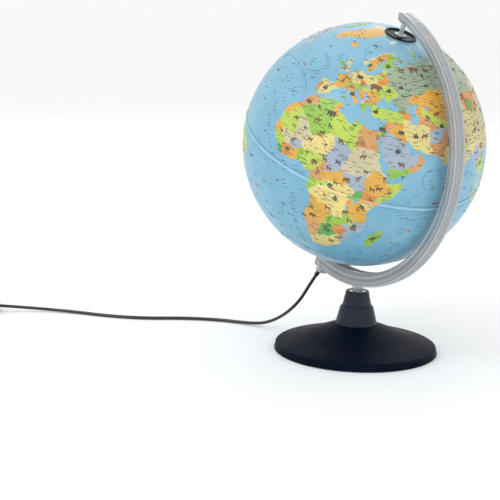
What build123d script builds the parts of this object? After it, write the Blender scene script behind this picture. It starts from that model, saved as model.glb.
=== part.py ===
"""Desktop globe, 300 mm across, lit from inside, on a clear meridian arm and a round plastic base.

Frame: millimetres, +Z up, origin at the centre of the base on the table. The arm lies in the
XZ plane on the +X side, and the globe's north pole leans towards +X.
"""
import os
from math import acos, asin, cos, pi, radians, sin, sqrt, tan

from build123d import *

# Driving dimensions
GLOBE_R = 150.0
GLOBE_Z = 262.3
TILT = 23.5
SHELL = 1.6
BASE_R = 104.0
RIM_TOP_R = 102.2
BASE_RIM_H = 8.2
BASE_SHOULDER = (100.2, 9.4)
BASE_MIDDLE = (70.0, 17.9)
BASE_SEAT_R = 27.0
BASE_SEAT_Z = 34.8
COLLAR_TOP_Z = 58.4
NECK_TOP_Z = 77.5
ARM_W = 15.0
ARM_INNER_R = 164.1
ARM_INNER_OFFSET = (-4.0, 4.3)
ARM_OUTER_R = 179.6
ARM_OUTER_OFFSET = (-8.8, 1.0)
ARM_WALL = 2.2
ARM_END_X = 62.8
ARM_TOP_ABOVE_CENTRE = 162.5
CAP_R = 19.3
PIN_R = 3.0
RUN = 0.06
SLIDE = 0.05
PRESS = 0.02
SOUTH_HOLE_R = 26.0
POST_R = 6.3
CORD_D = 4.4
COIL_R = 25.0
COIL_TURNS_WIDE = 3
SWITCH_L = 62.0
SWITCH_W = 24.0
SWITCH_H = 17.0

CORD_R = CORD_D / 2
POLE = Vector(sin(radians(TILT)), 0, cos(radians(TILT)))
CENTRE = Vector(0, 0, GLOBE_Z)
AXIS_PLANE = Plane(
    origin=(0, 0, GLOBE_Z),
    x_dir=(cos(radians(TILT)), 0, -sin(radians(TILT))),
    z_dir=(sin(radians(TILT)), 0, cos(radians(TILT))),
)
NAMES = []


def save(name, *solids):
    """Writes one node: a single solid, or a group of separate ones."""
    shapes = [s for item in solids for s in item.solids()]
    piece = shapes[0] if len(shapes) == 1 else Compound(children=shapes)
    export_step(piece, f"parts/{name}.step")
    NAMES.append(name)
    return piece


def turned(points, rounds=()):
    """Turns a closed outline of (radius, height) points about Z, with (index, radius) rounds."""
    face = make_face(Polyline(*[(r, 0, z) for r, z in points], close=True))
    for index, radius in rounds:
        r, z = points[index]
        corner = face.vertices().sort_by_distance(Vector(r, 0, z))[0]
        face = fillet(corner, radius)
    return revolve(face, Axis.Z, 360)


def tube(r_out, r_in, low, high):
    return turned([(r_in, low), (r_out, low), (r_out, high), (r_in, high)])


def rod(r, low, high):
    return Pos(0, 0, low) * Cylinder(r, high - low, align=(Align.CENTER, Align.CENTER, Align.MIN))


def on_axis(solid):
    """Moves a piece made about Z, with the globe's centre at zero, onto the globe's axis."""
    return AXIS_PLANE.location * solid


def axis_point(s, across=0.0):
    return CENTRE + POLE * s + Vector(POLE.Z, 0, -POLE.X) * across


# Globe: two half shells, the raised equator ring that joins them, and the pole fittings

SEAM = 0.8
RING_R = 151.0
RING_H = 4.0
CAP_HOLE_R = 17.0


def half_shell(hole_r):
    """A half sphere shell with its rim just above zero and a round hole at its pole."""
    inner_r = GLOBE_R - SHELL
    rim = SEAM / 2

    def on(radius, angle):
        return (radius * cos(angle), 0, radius * sin(angle))

    outer = (asin(rim / GLOBE_R), acos(hole_r / GLOBE_R))
    inner = (asin(rim / inner_r), acos(hole_r / inner_r))
    outer_arc = ThreePointArc(on(GLOBE_R, outer[0]), on(GLOBE_R, sum(outer) / 2), on(GLOBE_R, outer[1]))
    inner_arc = ThreePointArc(on(inner_r, inner[0]), on(inner_r, sum(inner) / 2), on(inner_r, inner[1]))
    rim_line = Line(inner_arc @ 0, outer_arc @ 0)
    hole_line = Line(outer_arc @ 1, inner_arc @ 1)
    return revolve(make_face([rim_line, outer_arc, hole_line, inner_arc]), Axis.Z, 360)


def north_hemisphere():
    return on_axis(half_shell(CAP_HOLE_R))


def south_hemisphere():
    return on_axis(mirror(half_shell(SOUTH_HOLE_R), Plane.XY))


def equator_ring():
    """An H section: a rounded bead outside, a web between the rims, and a flange inside."""
    web_r = GLOBE_R - SHELL - 0.2
    flange_r = web_r - 1.0
    flange_h = 3.0
    half = SEAM / 2
    bead = RING_H / 2
    lines = [
        Polyline((GLOBE_R, 0, -bead), (GLOBE_R, 0, -half), (web_r, 0, -half), (web_r, 0, -flange_h),
                 (flange_r, 0, -flange_h), (flange_r, 0, flange_h), (web_r, 0, flange_h),
                 (web_r, 0, half), (GLOBE_R, 0, half), (GLOBE_R, 0, bead)),
        ThreePointArc((GLOBE_R, 0, bead), (RING_R, 0, 0), (GLOBE_R, 0, -bead)),
    ]
    return on_axis(revolve(make_face(lines), Axis.Z, 360))


CAP_SEAT = sqrt(GLOBE_R**2 - CAP_HOLE_R**2)
CAP_DISH = 148.7
CAP_HUB_LOW = 136.0


def north_cap():
    """A dished disc on the crown with a raised rim, a spigot in the hole and a hub for the pin."""
    rim_r = CAP_HOLE_R
    spigot_r = CAP_HOLE_R - 0.1
    skirt_r = spigot_r - 1.5
    hub_r = PIN_R + 2.5
    bore_r = PIN_R + RUN
    under = CAP_DISH - 1.8
    points = [
        (bore_r, CAP_HUB_LOW), (hub_r, CAP_HUB_LOW), (hub_r, under), (skirt_r, under),
        (skirt_r, under - 4.0), (spigot_r, under - 4.0), (spigot_r, CAP_SEAT), (CAP_R, CAP_SEAT),
        (CAP_R, CAP_SEAT + 1.2), (rim_r, CAP_SEAT + 1.2), (rim_r - 1.2, CAP_DISH), (bore_r, CAP_DISH),
    ]
    return on_axis(turned(points, [(8, 0.7), (9, 0.5)]))


COLLAR_BORE_R = 24.6
COLLAR_FLANGE_R = 29.0
COLLAR_TOP = -sqrt(GLOBE_R**2 - SOUTH_HOLE_R**2)
COLLAR_LOW = COLLAR_TOP - 1.5
COLLAR_LINING_TOP = -143.5


def south_collar():
    """Lines the south opening and runs on the lamp holder's plate."""
    lining_r = SOUTH_HOLE_R - 0.1
    points = [
        (COLLAR_BORE_R, COLLAR_LOW), (COLLAR_FLANGE_R, COLLAR_LOW), (COLLAR_FLANGE_R, COLLAR_TOP),
        (lining_r, COLLAR_TOP), (lining_r, COLLAR_LINING_TOP), (COLLAR_BORE_R, COLLAR_LINING_TOP),
    ]
    return on_axis(turned(points))


# Meridian arm: a clear channel, open towards the globe, deeper at the bottom than at the top

ARM_END_ACROSS = -10.0
ARM_BOSS_TOP = -160.8
ARM_BOSS_END = -188.5
ARM_BOSS_R = 8.5
NIPPLE_R = 4.0
NIPPLE_END = -176.0
NUT_TOP = -170.0
NUT_END = -174.0
NUT_POCKET_R = 7.1
POST_BORE_TOP = 99.0
POST_TOP = 98.5
PIN_TOP = 174.0
PIN_BOSS_LOW = 164.6
TROUGH_END = 2.6
POST_BOSS_LOW = GLOBE_Z - 180.0
FAR = 30.0


def disc(offset, radius, width):
    """A cylinder across the arm, about a centre given from the globe's centre."""
    place = Pos(offset[0], 0, GLOBE_Z + offset[1]) * Rot(90, 0, 0)
    return place * Cylinder(radius, width)


def arm_region(inset, width):
    """What lies between the arm's two ends, moved in from them by inset."""
    size = 6 * GLOBE_R
    past_south = on_axis(Pos(ARM_END_ACROSS + inset + size / 2, 0, 0) * Box(size, width, size))
    behind_end = Pos(ARM_END_X + inset - size / 2, 0, GLOBE_Z + size / 2) * Box(size, width, size)
    over_top = Pos(0, 0, GLOBE_Z + ARM_TOP_ABOVE_CENTRE - inset + size / 2) * Box(size, width, size)
    return past_south - behind_end - over_top


def arm_ribs():
    """Two slim ribs along the outside of the arm."""
    rib_h = 0.7
    rib_w = 1.4
    rib_gap = 3.4
    outside = disc(ARM_OUTER_OFFSET, ARM_OUTER_R + rib_h, rib_w)
    band = (outside - disc(ARM_OUTER_OFFSET, ARM_OUTER_R - 0.5, rib_w)) & arm_region(0.0, rib_w)
    return [Pos(0, side * rib_gap / 2, 0) * band for side in (-1, 1)]


def meridian_arm():
    outer = disc(ARM_OUTER_OFFSET, ARM_OUTER_R, ARM_W)
    inner = disc(ARM_INNER_OFFSET, ARM_INNER_R, ARM_W)
    arm = (outer - inner) & arm_region(0.0, ARM_W)
    trough_w = ARM_W - 2 * ARM_WALL
    trough = disc(ARM_OUTER_OFFSET, ARM_OUTER_R - ARM_WALL, trough_w) & arm_region(TROUGH_END, trough_w)
    arm = arm - trough
    pin_boss = on_axis(rod(PIN_R + 3.0, PIN_BOSS_LOW, PIN_TOP + FAR)) & outer & arm_region(0.0, ARM_W)
    post_boss = rod(ARM_W / 2, POST_BOSS_LOW - 1.4, POST_BORE_TOP + ARM_WALL)
    south_boss = on_axis(rod(ARM_BOSS_R, ARM_BOSS_END, ARM_BOSS_TOP))
    arm = arm + pin_boss + post_boss + south_boss
    for rib in arm_ribs():
        arm = arm + rib
    arm = arm + cord_hook()
    arm = arm - on_axis(rod(PIN_R + PRESS, PIN_BOSS_LOW - 1.0, PIN_TOP))
    arm = arm - rod(POST_R + SLIDE, POST_BOSS_LOW - FAR, POST_BORE_TOP)
    arm = arm - on_axis(rod(NIPPLE_R + SLIDE, NUT_TOP - 0.5, ARM_BOSS_TOP + 1.0))
    arm = arm - on_axis(rod(NUT_POCKET_R, ARM_BOSS_END - 1.0, NUT_TOP))
    return arm - cord_slot()


def cord_hook():
    """A small hooked lip beside the slot, which keeps the cord in it."""
    hook_w = 5.0
    lip_h = 15.0
    web_h = 1.8
    hook_top = -173.3
    lip = Pos(-13.2, 0, hook_top - 0.2 - lip_h / 2) * Box(1.6, hook_w, lip_h)
    web = Pos(-11.0, 0, hook_top - web_h / 2) * Box(6.0, hook_w, web_h)
    return on_axis(lip + web)


# Cord exit: the grip leans off the globe's axis, and the cord leaves along the grip

EXIT_HEADING = 208.0
EXIT_DROP = 58.4
GRIP_L = 22.0
GRIP_R = 3.9
GRIP_SEAT = NIPPLE_END - 0.3
EXIT_DIR = Vector(
    cos(radians(EXIT_DROP)) * cos(radians(EXIT_HEADING)),
    cos(radians(EXIT_DROP)) * sin(radians(EXIT_HEADING)),
    -sin(radians(EXIT_DROP)),
)
GRIP_START = axis_point(GRIP_SEAT)
GRIP_TIP = GRIP_START + EXIT_DIR * GRIP_L
CORD_INSIDE = 14.0


def cord_slot():
    """Lets the cord's grip out through the side of the boss."""
    clear = 1.3
    plane = Plane(origin=GRIP_START + EXIT_DIR * GRIP_R, z_dir=EXIT_DIR)
    return plane.location * rod(GRIP_R + clear, 0.0, FAR)


def cord_grip():
    """A seat disc in the boss and a tapered strain relief along the cord's exit direction."""
    seat_h = 2.2
    straight = 5.0
    tip_r = CORD_R + 0.55
    seat = on_axis(rod(NUT_POCKET_R - 0.2, GRIP_SEAT - seat_h, GRIP_SEAT))
    plane = Plane(origin=GRIP_START, z_dir=EXIT_DIR)
    taper = turned([(0, 0), (GRIP_R, 0), (GRIP_R, straight), (tip_r, GRIP_L), (0, GRIP_L)], [(3, 0.4)])
    taper = plane.location * taper
    beyond_seat = on_axis(rod(2 * FAR, GRIP_SEAT - 2 * FAR, GRIP_SEAT))
    bore = plane.location * rod(CORD_R, GRIP_L - CORD_INSIDE, GRIP_L + 1.0)
    return (seat + (taper & beyond_seat)) - bore


# Pole pin, stand post and the base stack

def pole_pin():
    """The pin on the globe's axis, with a small cone above the cap."""
    low = 138.0
    bevel = 0.6
    flange_r = 7.0
    flange_low = CAP_DISH + 0.3
    points = [
        (0, low), (PIN_R - bevel, low), (PIN_R, low + bevel), (PIN_R, flange_low), (flange_r, flange_low),
        (flange_r, flange_low + 0.9), (PIN_R + 0.8, flange_low + 2.0), (PIN_R, flange_low + 3.6),
        (PIN_R, PIN_TOP), (0, PIN_TOP),
    ]
    return on_axis(turned(points, [(6, 1.0)]))


POST_SEAT_Z = 74.5
POST_FLANGE_R = 11.3
STEM_R = 9.0
STEM_LOW = 37.2
SCREW_R = 3.0
SCREW_TOP = 61.0
BOSS_LOW = 18.0
WASHER_H = 1.5
HEAD_H = 4.0
FLUTES = 12
STEM_CLEAR = 0.3
COLLAR_ROOF = 3.0
COLLAR_WALL = 3.5
COLLAR_TOP_R = 19.6


def stand_post():
    """A clear fluted column on a flange, with a stem that runs down inside the neck."""
    bore_r = SCREW_R + PRESS
    bore_top = SCREW_TOP + 1.0
    flange_top = POST_SEAT_Z + 2.5
    points = [
        (bore_r, STEM_LOW), (STEM_R, STEM_LOW), (STEM_R, POST_SEAT_Z), (POST_FLANGE_R, POST_SEAT_Z),
        (POST_FLANGE_R, flange_top), (POST_R, flange_top), (POST_R, POST_TOP), (0, POST_TOP),
        (0, bore_top), (bore_r, bore_top),
    ]
    post = turned(points, [(4, 0.8)])
    flute = rod(0.9, flange_top + 0.7, POST_TOP + 1.0)
    for i in range(FLUTES):
        post = post - Rot(0, 0, i * 360 / FLUTES) * Pos(POST_R + 0.3, 0, 0) * flute
    return post


PAD_RING_R = 88.0
PAD_R = 6.0
PAD_H = 2.0
PAD_ANGLES = (45, 135, 225, 315)
PLUG_PAD_R = 8.4
PLUG_PAD_H = 6.0
POCKET_R = PLUG_PAD_R + 2.0
SLOPE_HOLLOW_R = 140.0
BASE_WALL = 2.5
BASE_LIP = 0.8
RIB_L = 80.0
RIB_T = 2.0
RIB_H = 14.0
RIB_LOW = 20.0
RIB_START = 4.0
RIB_COUNT = 8


def base_outer():
    """The solid form of the base: a rim with a crisp edge, a ledge and a faintly hollow slope."""
    ledge = (BASE_SHOULDER[0] + 0.9, BASE_RIM_H + 0.25)
    points = [(0, BASE_LIP), (BASE_R, BASE_LIP), (RIM_TOP_R, BASE_RIM_H), ledge, BASE_SHOULDER, BASE_MIDDLE,
              (BASE_SEAT_R, BASE_SEAT_Z), (0, BASE_SEAT_Z)]
    return turned(points, [(2, 0.6), (4, 1.8), (5, SLOPE_HOLLOW_R)])


def base_inner():
    """The hollow below it, one wall thickness in."""
    low = BASE_LIP - 1.0
    points = [(0, low), (BASE_R - BASE_WALL, low), (BASE_SHOULDER[0] - 1.4, BASE_SHOULDER[1] - BASE_WALL),
              (BASE_MIDDLE[0], BASE_MIDDLE[1] - BASE_WALL), (BASE_SEAT_R, BASE_SEAT_Z - BASE_WALL),
              (0, BASE_SEAT_Z - BASE_WALL)]
    return turned(points, [(2, 2.0), (3, SLOPE_HOLLOW_R)])


def base_foot():
    """A hollow dome with eight ribs, four pad bosses and a middle boss that hides the screw."""
    outer = base_outer()
    foot = outer - base_inner()
    boss = rod(POCKET_R, PAD_H, BASE_SEAT_Z - 0.5)
    bosses = [Rot(0, 0, a) * Pos(PAD_RING_R, 0, 0) * rod(PAD_R + 1.5, PAD_H, 40.0) for a in PAD_ANGLES]
    rib = Pos(RIB_START + RIB_L / 2, 0, RIB_LOW + RIB_H / 2) * Box(RIB_L, RIB_T, RIB_H)
    ribs = [Rot(0, 0, (i + 0.5) * 360 / RIB_COUNT) * rib for i in range(RIB_COUNT)]
    for extra in [boss, *bosses, *ribs]:
        foot = foot + (extra & outer)
    pocket = rod(PLUG_PAD_R, 0.0, BOSS_LOW)
    return foot - pocket - rod(SCREW_R + 0.3, 0.0, BASE_SEAT_Z + 1.0)


def foot_pads():
    """Four pads under the rim, and a plug under the screw that the base also stands on."""
    pad = turned([(0, 0), (PAD_R, 0), (PAD_R, PAD_H), (0, PAD_H)], [(1, 0.5)])
    plug = turned([(0, 0), (PLUG_PAD_R, 0), (PLUG_PAD_R, PLUG_PAD_H), (0, PLUG_PAD_H)], [(1, 0.5)])
    return [plug, *(Rot(0, 0, a) * Pos(PAD_RING_R, 0, 0) * pad for a in PAD_ANGLES)]


def base_collar():
    """A hollow cone on the base, with a narrow foot and a sloped top edge."""
    bore_r = STEM_R + STEM_CLEAR
    ledge_z = COLLAR_TOP_Z - COLLAR_ROOF
    foot_r = BASE_SEAT_R - 0.3
    cone_low_r = 26.1
    cone_top_r = 21.3
    cone_low_z = BASE_SEAT_Z + 2.0
    cone_top_z = COLLAR_TOP_Z - 2.4
    points = [
        (cone_low_r - COLLAR_WALL, BASE_SEAT_Z), (foot_r, BASE_SEAT_Z), (cone_low_r, cone_low_z),
        (cone_top_r, cone_top_z), (COLLAR_TOP_R, COLLAR_TOP_Z), (bore_r, COLLAR_TOP_Z),
        (bore_r, ledge_z), (cone_top_r - COLLAR_WALL, ledge_z),
    ]
    return turned(points, [(1, 0.8), (2, 1.0), (3, 0.9)])


def base_neck():
    """A smaller hollow cone on the collar, with a round seat for the post's flange."""
    bore_r = STEM_R + STEM_CLEAR
    mouth_r = POST_FLANGE_R + STEM_CLEAR
    ledge_z = POST_SEAT_Z - COLLAR_ROOF
    low_r = 18.5
    top_r = 14.5
    points = [
        (low_r - 2.5, COLLAR_TOP_Z), (low_r, COLLAR_TOP_Z), (top_r, NECK_TOP_Z), (mouth_r, NECK_TOP_Z),
        (mouth_r, POST_SEAT_Z), (bore_r, POST_SEAT_Z), (bore_r, ledge_z), (top_r - 1.6, ledge_z),
    ]
    return turned(points, [(1, 0.5), (2, 1.3), (3, 0.5)])


def post_screw():
    """A pan head screw from below, with a cross recess."""
    head_top = BOSS_LOW - WASHER_H
    head_low = head_top - HEAD_H
    head_r = 5.6
    outline = [(0, head_low), (head_r, head_low), (head_r, head_top), (SCREW_R, head_top),
               (SCREW_R, SCREW_TOP), (0, SCREW_TOP)]
    screw = turned(outline, [(1, 1.6)])
    slot = Pos(0, 0, head_low) * Box(2 * SCREW_R, 1.2, HEAD_H - 0.4)
    return screw - slot - Rot(0, 0, 90) * slot


def post_washer():
    return tube(8.0, SCREW_R + 0.25, BOSS_LOW - WASHER_H, BOSS_LOW)


# Lamp holder and lamp

PLATE_R = COLLAR_BORE_R - RUN
LIP_TOP = COLLAR_LOW - 0.4
HOLDER_R = 14.0
HOLDER_TOP = -104.0
HOLDER_FLOOR = -133.0
INSERT_TOP = -130.0
LAMP_LOW = -127.4
LAMP_CAP_TOP = LAMP_LOW + 23.0
LAMP_CAP_BORE = 5.9


def lamp_holder():
    """A sleeve for the lamp, a plate that centres the globe, and a nipple through the arm."""
    bore_r = 2.9
    flange_r = 9.5
    flange_top = ARM_BOSS_TOP + 3.3
    neck_r = 8.0
    lip_r = 28.0
    lip_low = LIP_TOP - 1.8
    plate_top = -146.4
    points = [
        (bore_r, NIPPLE_END), (NIPPLE_R, NIPPLE_END), (NIPPLE_R, ARM_BOSS_TOP), (flange_r, ARM_BOSS_TOP),
        (flange_r, flange_top), (neck_r, flange_top), (neck_r, lip_low), (lip_r, lip_low), (lip_r, LIP_TOP),
        (PLATE_R, LIP_TOP), (PLATE_R, plate_top), (HOLDER_R, plate_top), (HOLDER_R, HOLDER_TOP),
        (HOLDER_R - 1.5, HOLDER_TOP), (HOLDER_R - 1.5, HOLDER_FLOOR), (bore_r, HOLDER_FLOOR),
    ]
    return on_axis(turned(points))


def holder_nut():
    across_flats = 12.0
    hexagon = extrude(RegularPolygon(across_flats / 2, 6, major_radius=False), NUT_TOP - NUT_END)
    return on_axis(Pos(0, 0, NUT_END) * hexagon - rod(NIPPLE_R, NUT_END - 1.0, NUT_TOP + 1.0))


def socket_insert():
    return on_axis(tube(HOLDER_R - 1.6, 3.2, HOLDER_FLOOR, INSERT_TOP))


def thread_outline(r_in, r_out, low, high, pitch):
    """Points down a round thread, from high to low."""
    steps = int((high - low) / pitch)
    points = []
    for i in range(steps):
        top = high - i * pitch
        points += [(r_in, top), (r_out, top - pitch / 2)]
    return points + [(r_in, low)]


def socket_shell():
    """The sleeve that the lamp screws into, on a flange."""
    high = HOLDER_TOP - 4.0
    inner_r = 7.15
    outer_r = 7.9
    flange_r = 11.0
    flange_top = INSERT_TOP + 0.8
    outline = [(inner_r, high), (outer_r, high), (outer_r, flange_top), (flange_r, flange_top),
               (flange_r, INSERT_TOP), (inner_r, INSERT_TOP)]
    return on_axis(turned(outline))


def socket_contact():
    """A sprung tongue under the lamp's centre contact."""
    tongue = Pos(0, 0, INSERT_TOP + 1.3) * Box(9.0, 4.0, 2.6)
    gap = Pos(1.2, 0, INSERT_TOP + 1.2) * Box(9.0, 5.0, 1.2)
    return on_axis(tongue - gap)


def bulb_cap():
    """A hollow threaded cap."""
    low = LAMP_LOW + 3.4
    outline = thread_outline(6.4, 6.95, low, LAMP_CAP_TOP, 2.8)
    return on_axis(turned([(LAMP_CAP_BORE, low), (LAMP_CAP_BORE, LAMP_CAP_TOP), *outline]))


def bulb_contact():
    return on_axis(rod(2.4, LAMP_LOW, LAMP_LOW + 1.0))


def bulb_insulator():
    low = LAMP_LOW + 1.0
    return on_axis(turned([(0, low), (2.4, low), (6.4, low + 2.4), (5.8, low + 2.4), (0, low + 1.0)]))


BULB_SEAM = -76.0
BULB_R = 22.0
BULB_WALL = 1.6


def bulb_body():
    """The lamp's plastic housing, a hollow cone."""
    low = LAMP_CAP_TOP
    seat_r = BULB_R - BULB_WALL
    points = [(LAMP_CAP_BORE, low), (8.2, low), (14.5, low + 10.0), (seat_r, BULB_SEAM),
              (seat_r - BULB_WALL, BULB_SEAM), (13.0, low + 10.6), (LAMP_CAP_BORE, low + 1.5)]
    return on_axis(turned(points))


def bulb_dome():
    """The lamp's milky cover, a thin part sphere."""
    seat_r = BULB_R - BULB_WALL
    thick = 1.2
    middle = BULB_SEAM + sqrt(BULB_R**2 - seat_r**2)
    ball = Pos(0, 0, middle) * (Sphere(BULB_R) - Sphere(BULB_R - thick))
    return on_axis(ball & rod(2 * BULB_R, BULB_SEAM, 0.0))


# Mains cord: the lead to the hand switch, the tail to the coil, and the end to the plug

FLOOR = CORD_R
EXIT_FLAT = Vector(cos(radians(EXIT_HEADING)), sin(radians(EXIT_HEADING)), 0)


def in_fall(distance, height):
    """A point in the upright plane that the cord falls in."""
    start = Vector(GRIP_START.X, GRIP_START.Y, 0)
    return start + EXIT_FLAT * distance + Vector(0, 0, height)


SWITCH_START = Vector(-398.0, -318.0, SWITCH_H / 2)
SWITCH_HEADING = 244.0
SWITCH_DIR = Vector(cos(radians(SWITCH_HEADING)), sin(radians(SWITCH_HEADING)), 0)
SWITCH_END = SWITCH_START + SWITCH_DIR * SWITCH_L
COIL_CENTRE = (-352.0, -397.0)
COIL_LOW = 0.9
COIL_H = COIL_TURNS_WIDE * CORD_D * 0.95
COIL_W = COIL_TURNS_WIDE * CORD_D
TAIL_JOIN = 260.0
END_JOIN = 284.0
PLUG_START = Vector(-314.0, -414.0, 7.0)
PLUG_HEADING = 4.0
PLUG_DIR = Vector(cos(radians(PLUG_HEADING)), sin(radians(PLUG_HEADING)), 0)


def coil_point(angle, height):
    x = COIL_CENTRE[0] + COIL_R * cos(radians(angle))
    y = COIL_CENTRE[1] + COIL_R * sin(radians(angle))
    return Vector(x, y, height)


LEAD_ROUTE = [
    GRIP_TIP,
    in_fall(20.6, 67.4),
    in_fall(34.5, 42.6),
    in_fall(56.5, 21.0),
    in_fall(81.0, 7.2),
    Vector(-165.0, -50.0, FLOOR),
    Vector(-204.0, -77.0, FLOOR),
    Vector(-236.0, -117.0, FLOOR),
    Vector(-261.0, -163.0, FLOOR),
    Vector(-297.0, -201.0, FLOOR),
    Vector(-339.0, -232.0, FLOOR),
    Vector(-374.0, -268.0, 3.4),
    SWITCH_START,
]
TAIL_ROUTE = [
    SWITCH_END,
    Vector(-434.0, -392.5, 5.2),
    Vector(-428.5, -413.5, FLOOR + 0.3),
    Vector(-409.0, -425.5, FLOOR + 0.6),
    Vector(-384.0, -424.0, FLOOR + 0.9),
    coil_point(TAIL_JOIN, COIL_LOW + CORD_R),
]
END_ROUTE = [
    coil_point(END_JOIN, 10.5),
    Vector(-331.0, -415.8, 8.6),
    PLUG_START,
]


def cord_tube(name, route):
    """Straight runs joined by arcs as large as the runs allow."""
    runs = [(b - a).length for a, b in zip(route, route[1:])]
    radii = []
    for i in range(1, len(route) - 1):
        turn = (route[i] - route[i - 1]).get_angle(route[i + 1] - route[i])
        radii.append(0.45 * min(runs[i - 1], runs[i]) / tan(radians(turn / 2)))
    path = FilletPolyline(*route, radius=radii)
    start = Plane(origin=route[0], z_dir=route[1] - route[0])
    solid = sweep(start.location * Circle(CORD_R), path=path)
    section = pi * CORD_R**2
    print(name, "runs", [round(r, 1) for r in runs], "radii", [round(r, 1) for r in radii],
          "length", round(path.length, 1), "volume ratio", round(solid.volume / (section * path.length), 4))
    return solid


def cord_lead():
    inside = GRIP_TIP - EXIT_DIR * CORD_INSIDE
    stub = Plane(origin=inside, z_dir=EXIT_DIR).location * rod(CORD_R, 0.0, CORD_INSIDE)
    return stub + cord_tube("cord_lead", LEAD_ROUTE)


def cord_coil():
    """The outer form of the tied coil: a ring with a rounded section."""
    inner = COIL_R - COIL_W / 2
    outer = COIL_R + COIL_W / 2
    top = COIL_LOW + COIL_H
    ring = turned([(inner, COIL_LOW), (outer, COIL_LOW), (outer, top), (inner, top)],
                  [(0, 2.2), (1, 2.2), (2, 2.2), (3, 2.2)])
    return Pos(COIL_CENTRE[0], COIL_CENTRE[1], 0) * ring


def coil_tie():
    """A flat strap round the coil's turns."""
    clear = 0.45
    strap = 0.8
    width = 8.0
    top = COIL_LOW + COIL_H
    middle = (COIL_LOW + top) / 2
    outer = Box(COIL_W + 2 * (clear + strap), width, COIL_H + 2 * strap)
    hole = Box(COIL_W + 2 * clear, width + 1.0, COIL_H)
    place = Pos(COIL_CENTRE[0], COIL_CENTRE[1], 0) * Rot(0, 0, 60) * Pos(COIL_R, 0, middle)
    return place * (outer - hole)


# Hand switch on the cord

SWITCH_PLANE = Plane(origin=(SWITCH_START + SWITCH_END) / 2, x_dir=SWITCH_DIR, z_dir=(0, 0, 1))
CASE_WALL = 1.8
ROCKER_L = 15.0
ROCKER_W = 8.0
ROCKER_PIVOT_R = 1.2
ROCKER_REST = -6.0
PIVOT_UP = 4.2


def on_switch(solid):
    return SWITCH_PLANE.location * solid


def case_form(grow=0.0):
    """The switch's outer form: a long oval, with rounded ends and edges, grown or shrunk."""
    half_l = SWITCH_L / 2 + grow
    half_w = SWITCH_W / 2 + grow
    nose = 5.0 + grow
    outline = [Spline((-half_l, nose), (-half_l * 0.62, half_w * 0.93), (0, half_w),
                      (half_l * 0.62, half_w * 0.93), (half_l, nose)),
               Line((half_l, nose), (half_l, -nose)),
               Spline((half_l, -nose), (half_l * 0.62, -half_w * 0.93), (0, -half_w),
                      (-half_l * 0.62, -half_w * 0.93), (-half_l, -nose)),
               Line((-half_l, -nose), (-half_l, nose))]
    height = SWITCH_H + 2 * grow
    solid = extrude(make_face(outline), height)
    return Pos(0, 0, -height / 2) * solid


def case_shell():
    outer = case_form()
    rounded = fillet(outer.edges().filter_by(Plane.XY), 3.0)
    shell = rounded - case_form(-CASE_WALL)
    cord_way = Rot(0, 90, 0) * Cylinder(CORD_R, SWITCH_L + 10.0)
    return shell - cord_way


def rocker_window(extra):
    return Pos(0, 0, SWITCH_H / 2) * Box(ROCKER_L + 2 * extra, ROCKER_W + 2 * extra, 8.0)


def pivot_holes(radius, length):
    return Pos(0, 0, PIVOT_UP) * Rot(90, 0, 0) * Cylinder(radius, length)


def switch_case_upper():
    """The upper shell, with a window for the rocker and two cheeks that hold its pivot."""
    half_space = Box(2 * SWITCH_L, SWITCH_L, SWITCH_L)
    upper = case_shell() & (Pos(0, 0, SWITCH_L / 2) * half_space)
    inner_top = SWITCH_H / 2 - CASE_WALL + 0.5
    cheek_h = inner_top - 1.5
    for side in (-1, 1):
        cheek = Pos(0, side * (ROCKER_W / 2 + 1.4), 1.5 + cheek_h / 2) * Box(8.0, 2.0, cheek_h)
        upper = upper + cheek
    upper = upper - rocker_window(0.4)
    return on_switch(upper - pivot_holes(ROCKER_PIVOT_R + RUN, ROCKER_W + 8.0))


def screw_places():
    return [Pos(-19.0, 6.8, 0), Pos(19.0, -6.8, 0)]


def switch_case_lower():
    """The lower shell, with two screw posts."""
    half_space = Box(2 * SWITCH_L, SWITCH_L, SWITCH_L)
    lower = case_shell() & (Pos(0, 0, -SWITCH_L / 2) * half_space)
    floor = -SWITCH_H / 2
    for place in screw_places():
        lower = lower + place * rod(2.8, floor + 1.0, 0.0)
        lower = lower - place * rod(1.35, floor - 1.0, 1.0)
        lower = lower - place * rod(2.4, floor - 1.0, floor + 2.4)
    return on_switch(lower)


def switch_screws():
    floor = -SWITCH_H / 2
    screw = rod(2.2, floor + 0.9, floor + 2.4) + rod(1.25, floor + 2.4, 0.0)
    slot = Pos(0, 0, floor + 0.9) * Box(3.0, 0.6, 1.0)
    return [on_switch(place * (screw - slot)) for place in screw_places()]


def switch_rocker():
    """A curved key on a cross pivot, resting with one end down."""
    body = Pos(0, 0, PIVOT_UP + 2.0) * Box(ROCKER_L - 0.4, ROCKER_W, 4.4)
    crown = Pos(0, 0, PIVOT_UP + 29.0) * Rot(90, 0, 0) * Cylinder(26.0, ROCKER_W + 2.0)
    key = body - crown
    pivot = pivot_holes(ROCKER_PIVOT_R, ROCKER_W + 4.4)
    toe = Pos(0, 0, PIVOT_UP - 1.6) * Box(4.0, 4.0, 3.2)
    swing = Pos(0, 0, PIVOT_UP) * Rot(0, ROCKER_REST, 0) * Pos(0, 0, -PIVOT_UP)
    return on_switch(swing * (key + pivot + toe))


def switch_terminals():
    """Two brass terminal blocks on the floor of the case."""
    block = Pos(0, 0, -SWITCH_H / 2 + CASE_WALL + 2.2) * Box(9.0, 3.4, 4.4)
    return [on_switch(Pos(side * 11.0, 0, 0) * block) for side in (-1, 1)]


# Plug: a flat two pin mains plug with a tapered grip

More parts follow.
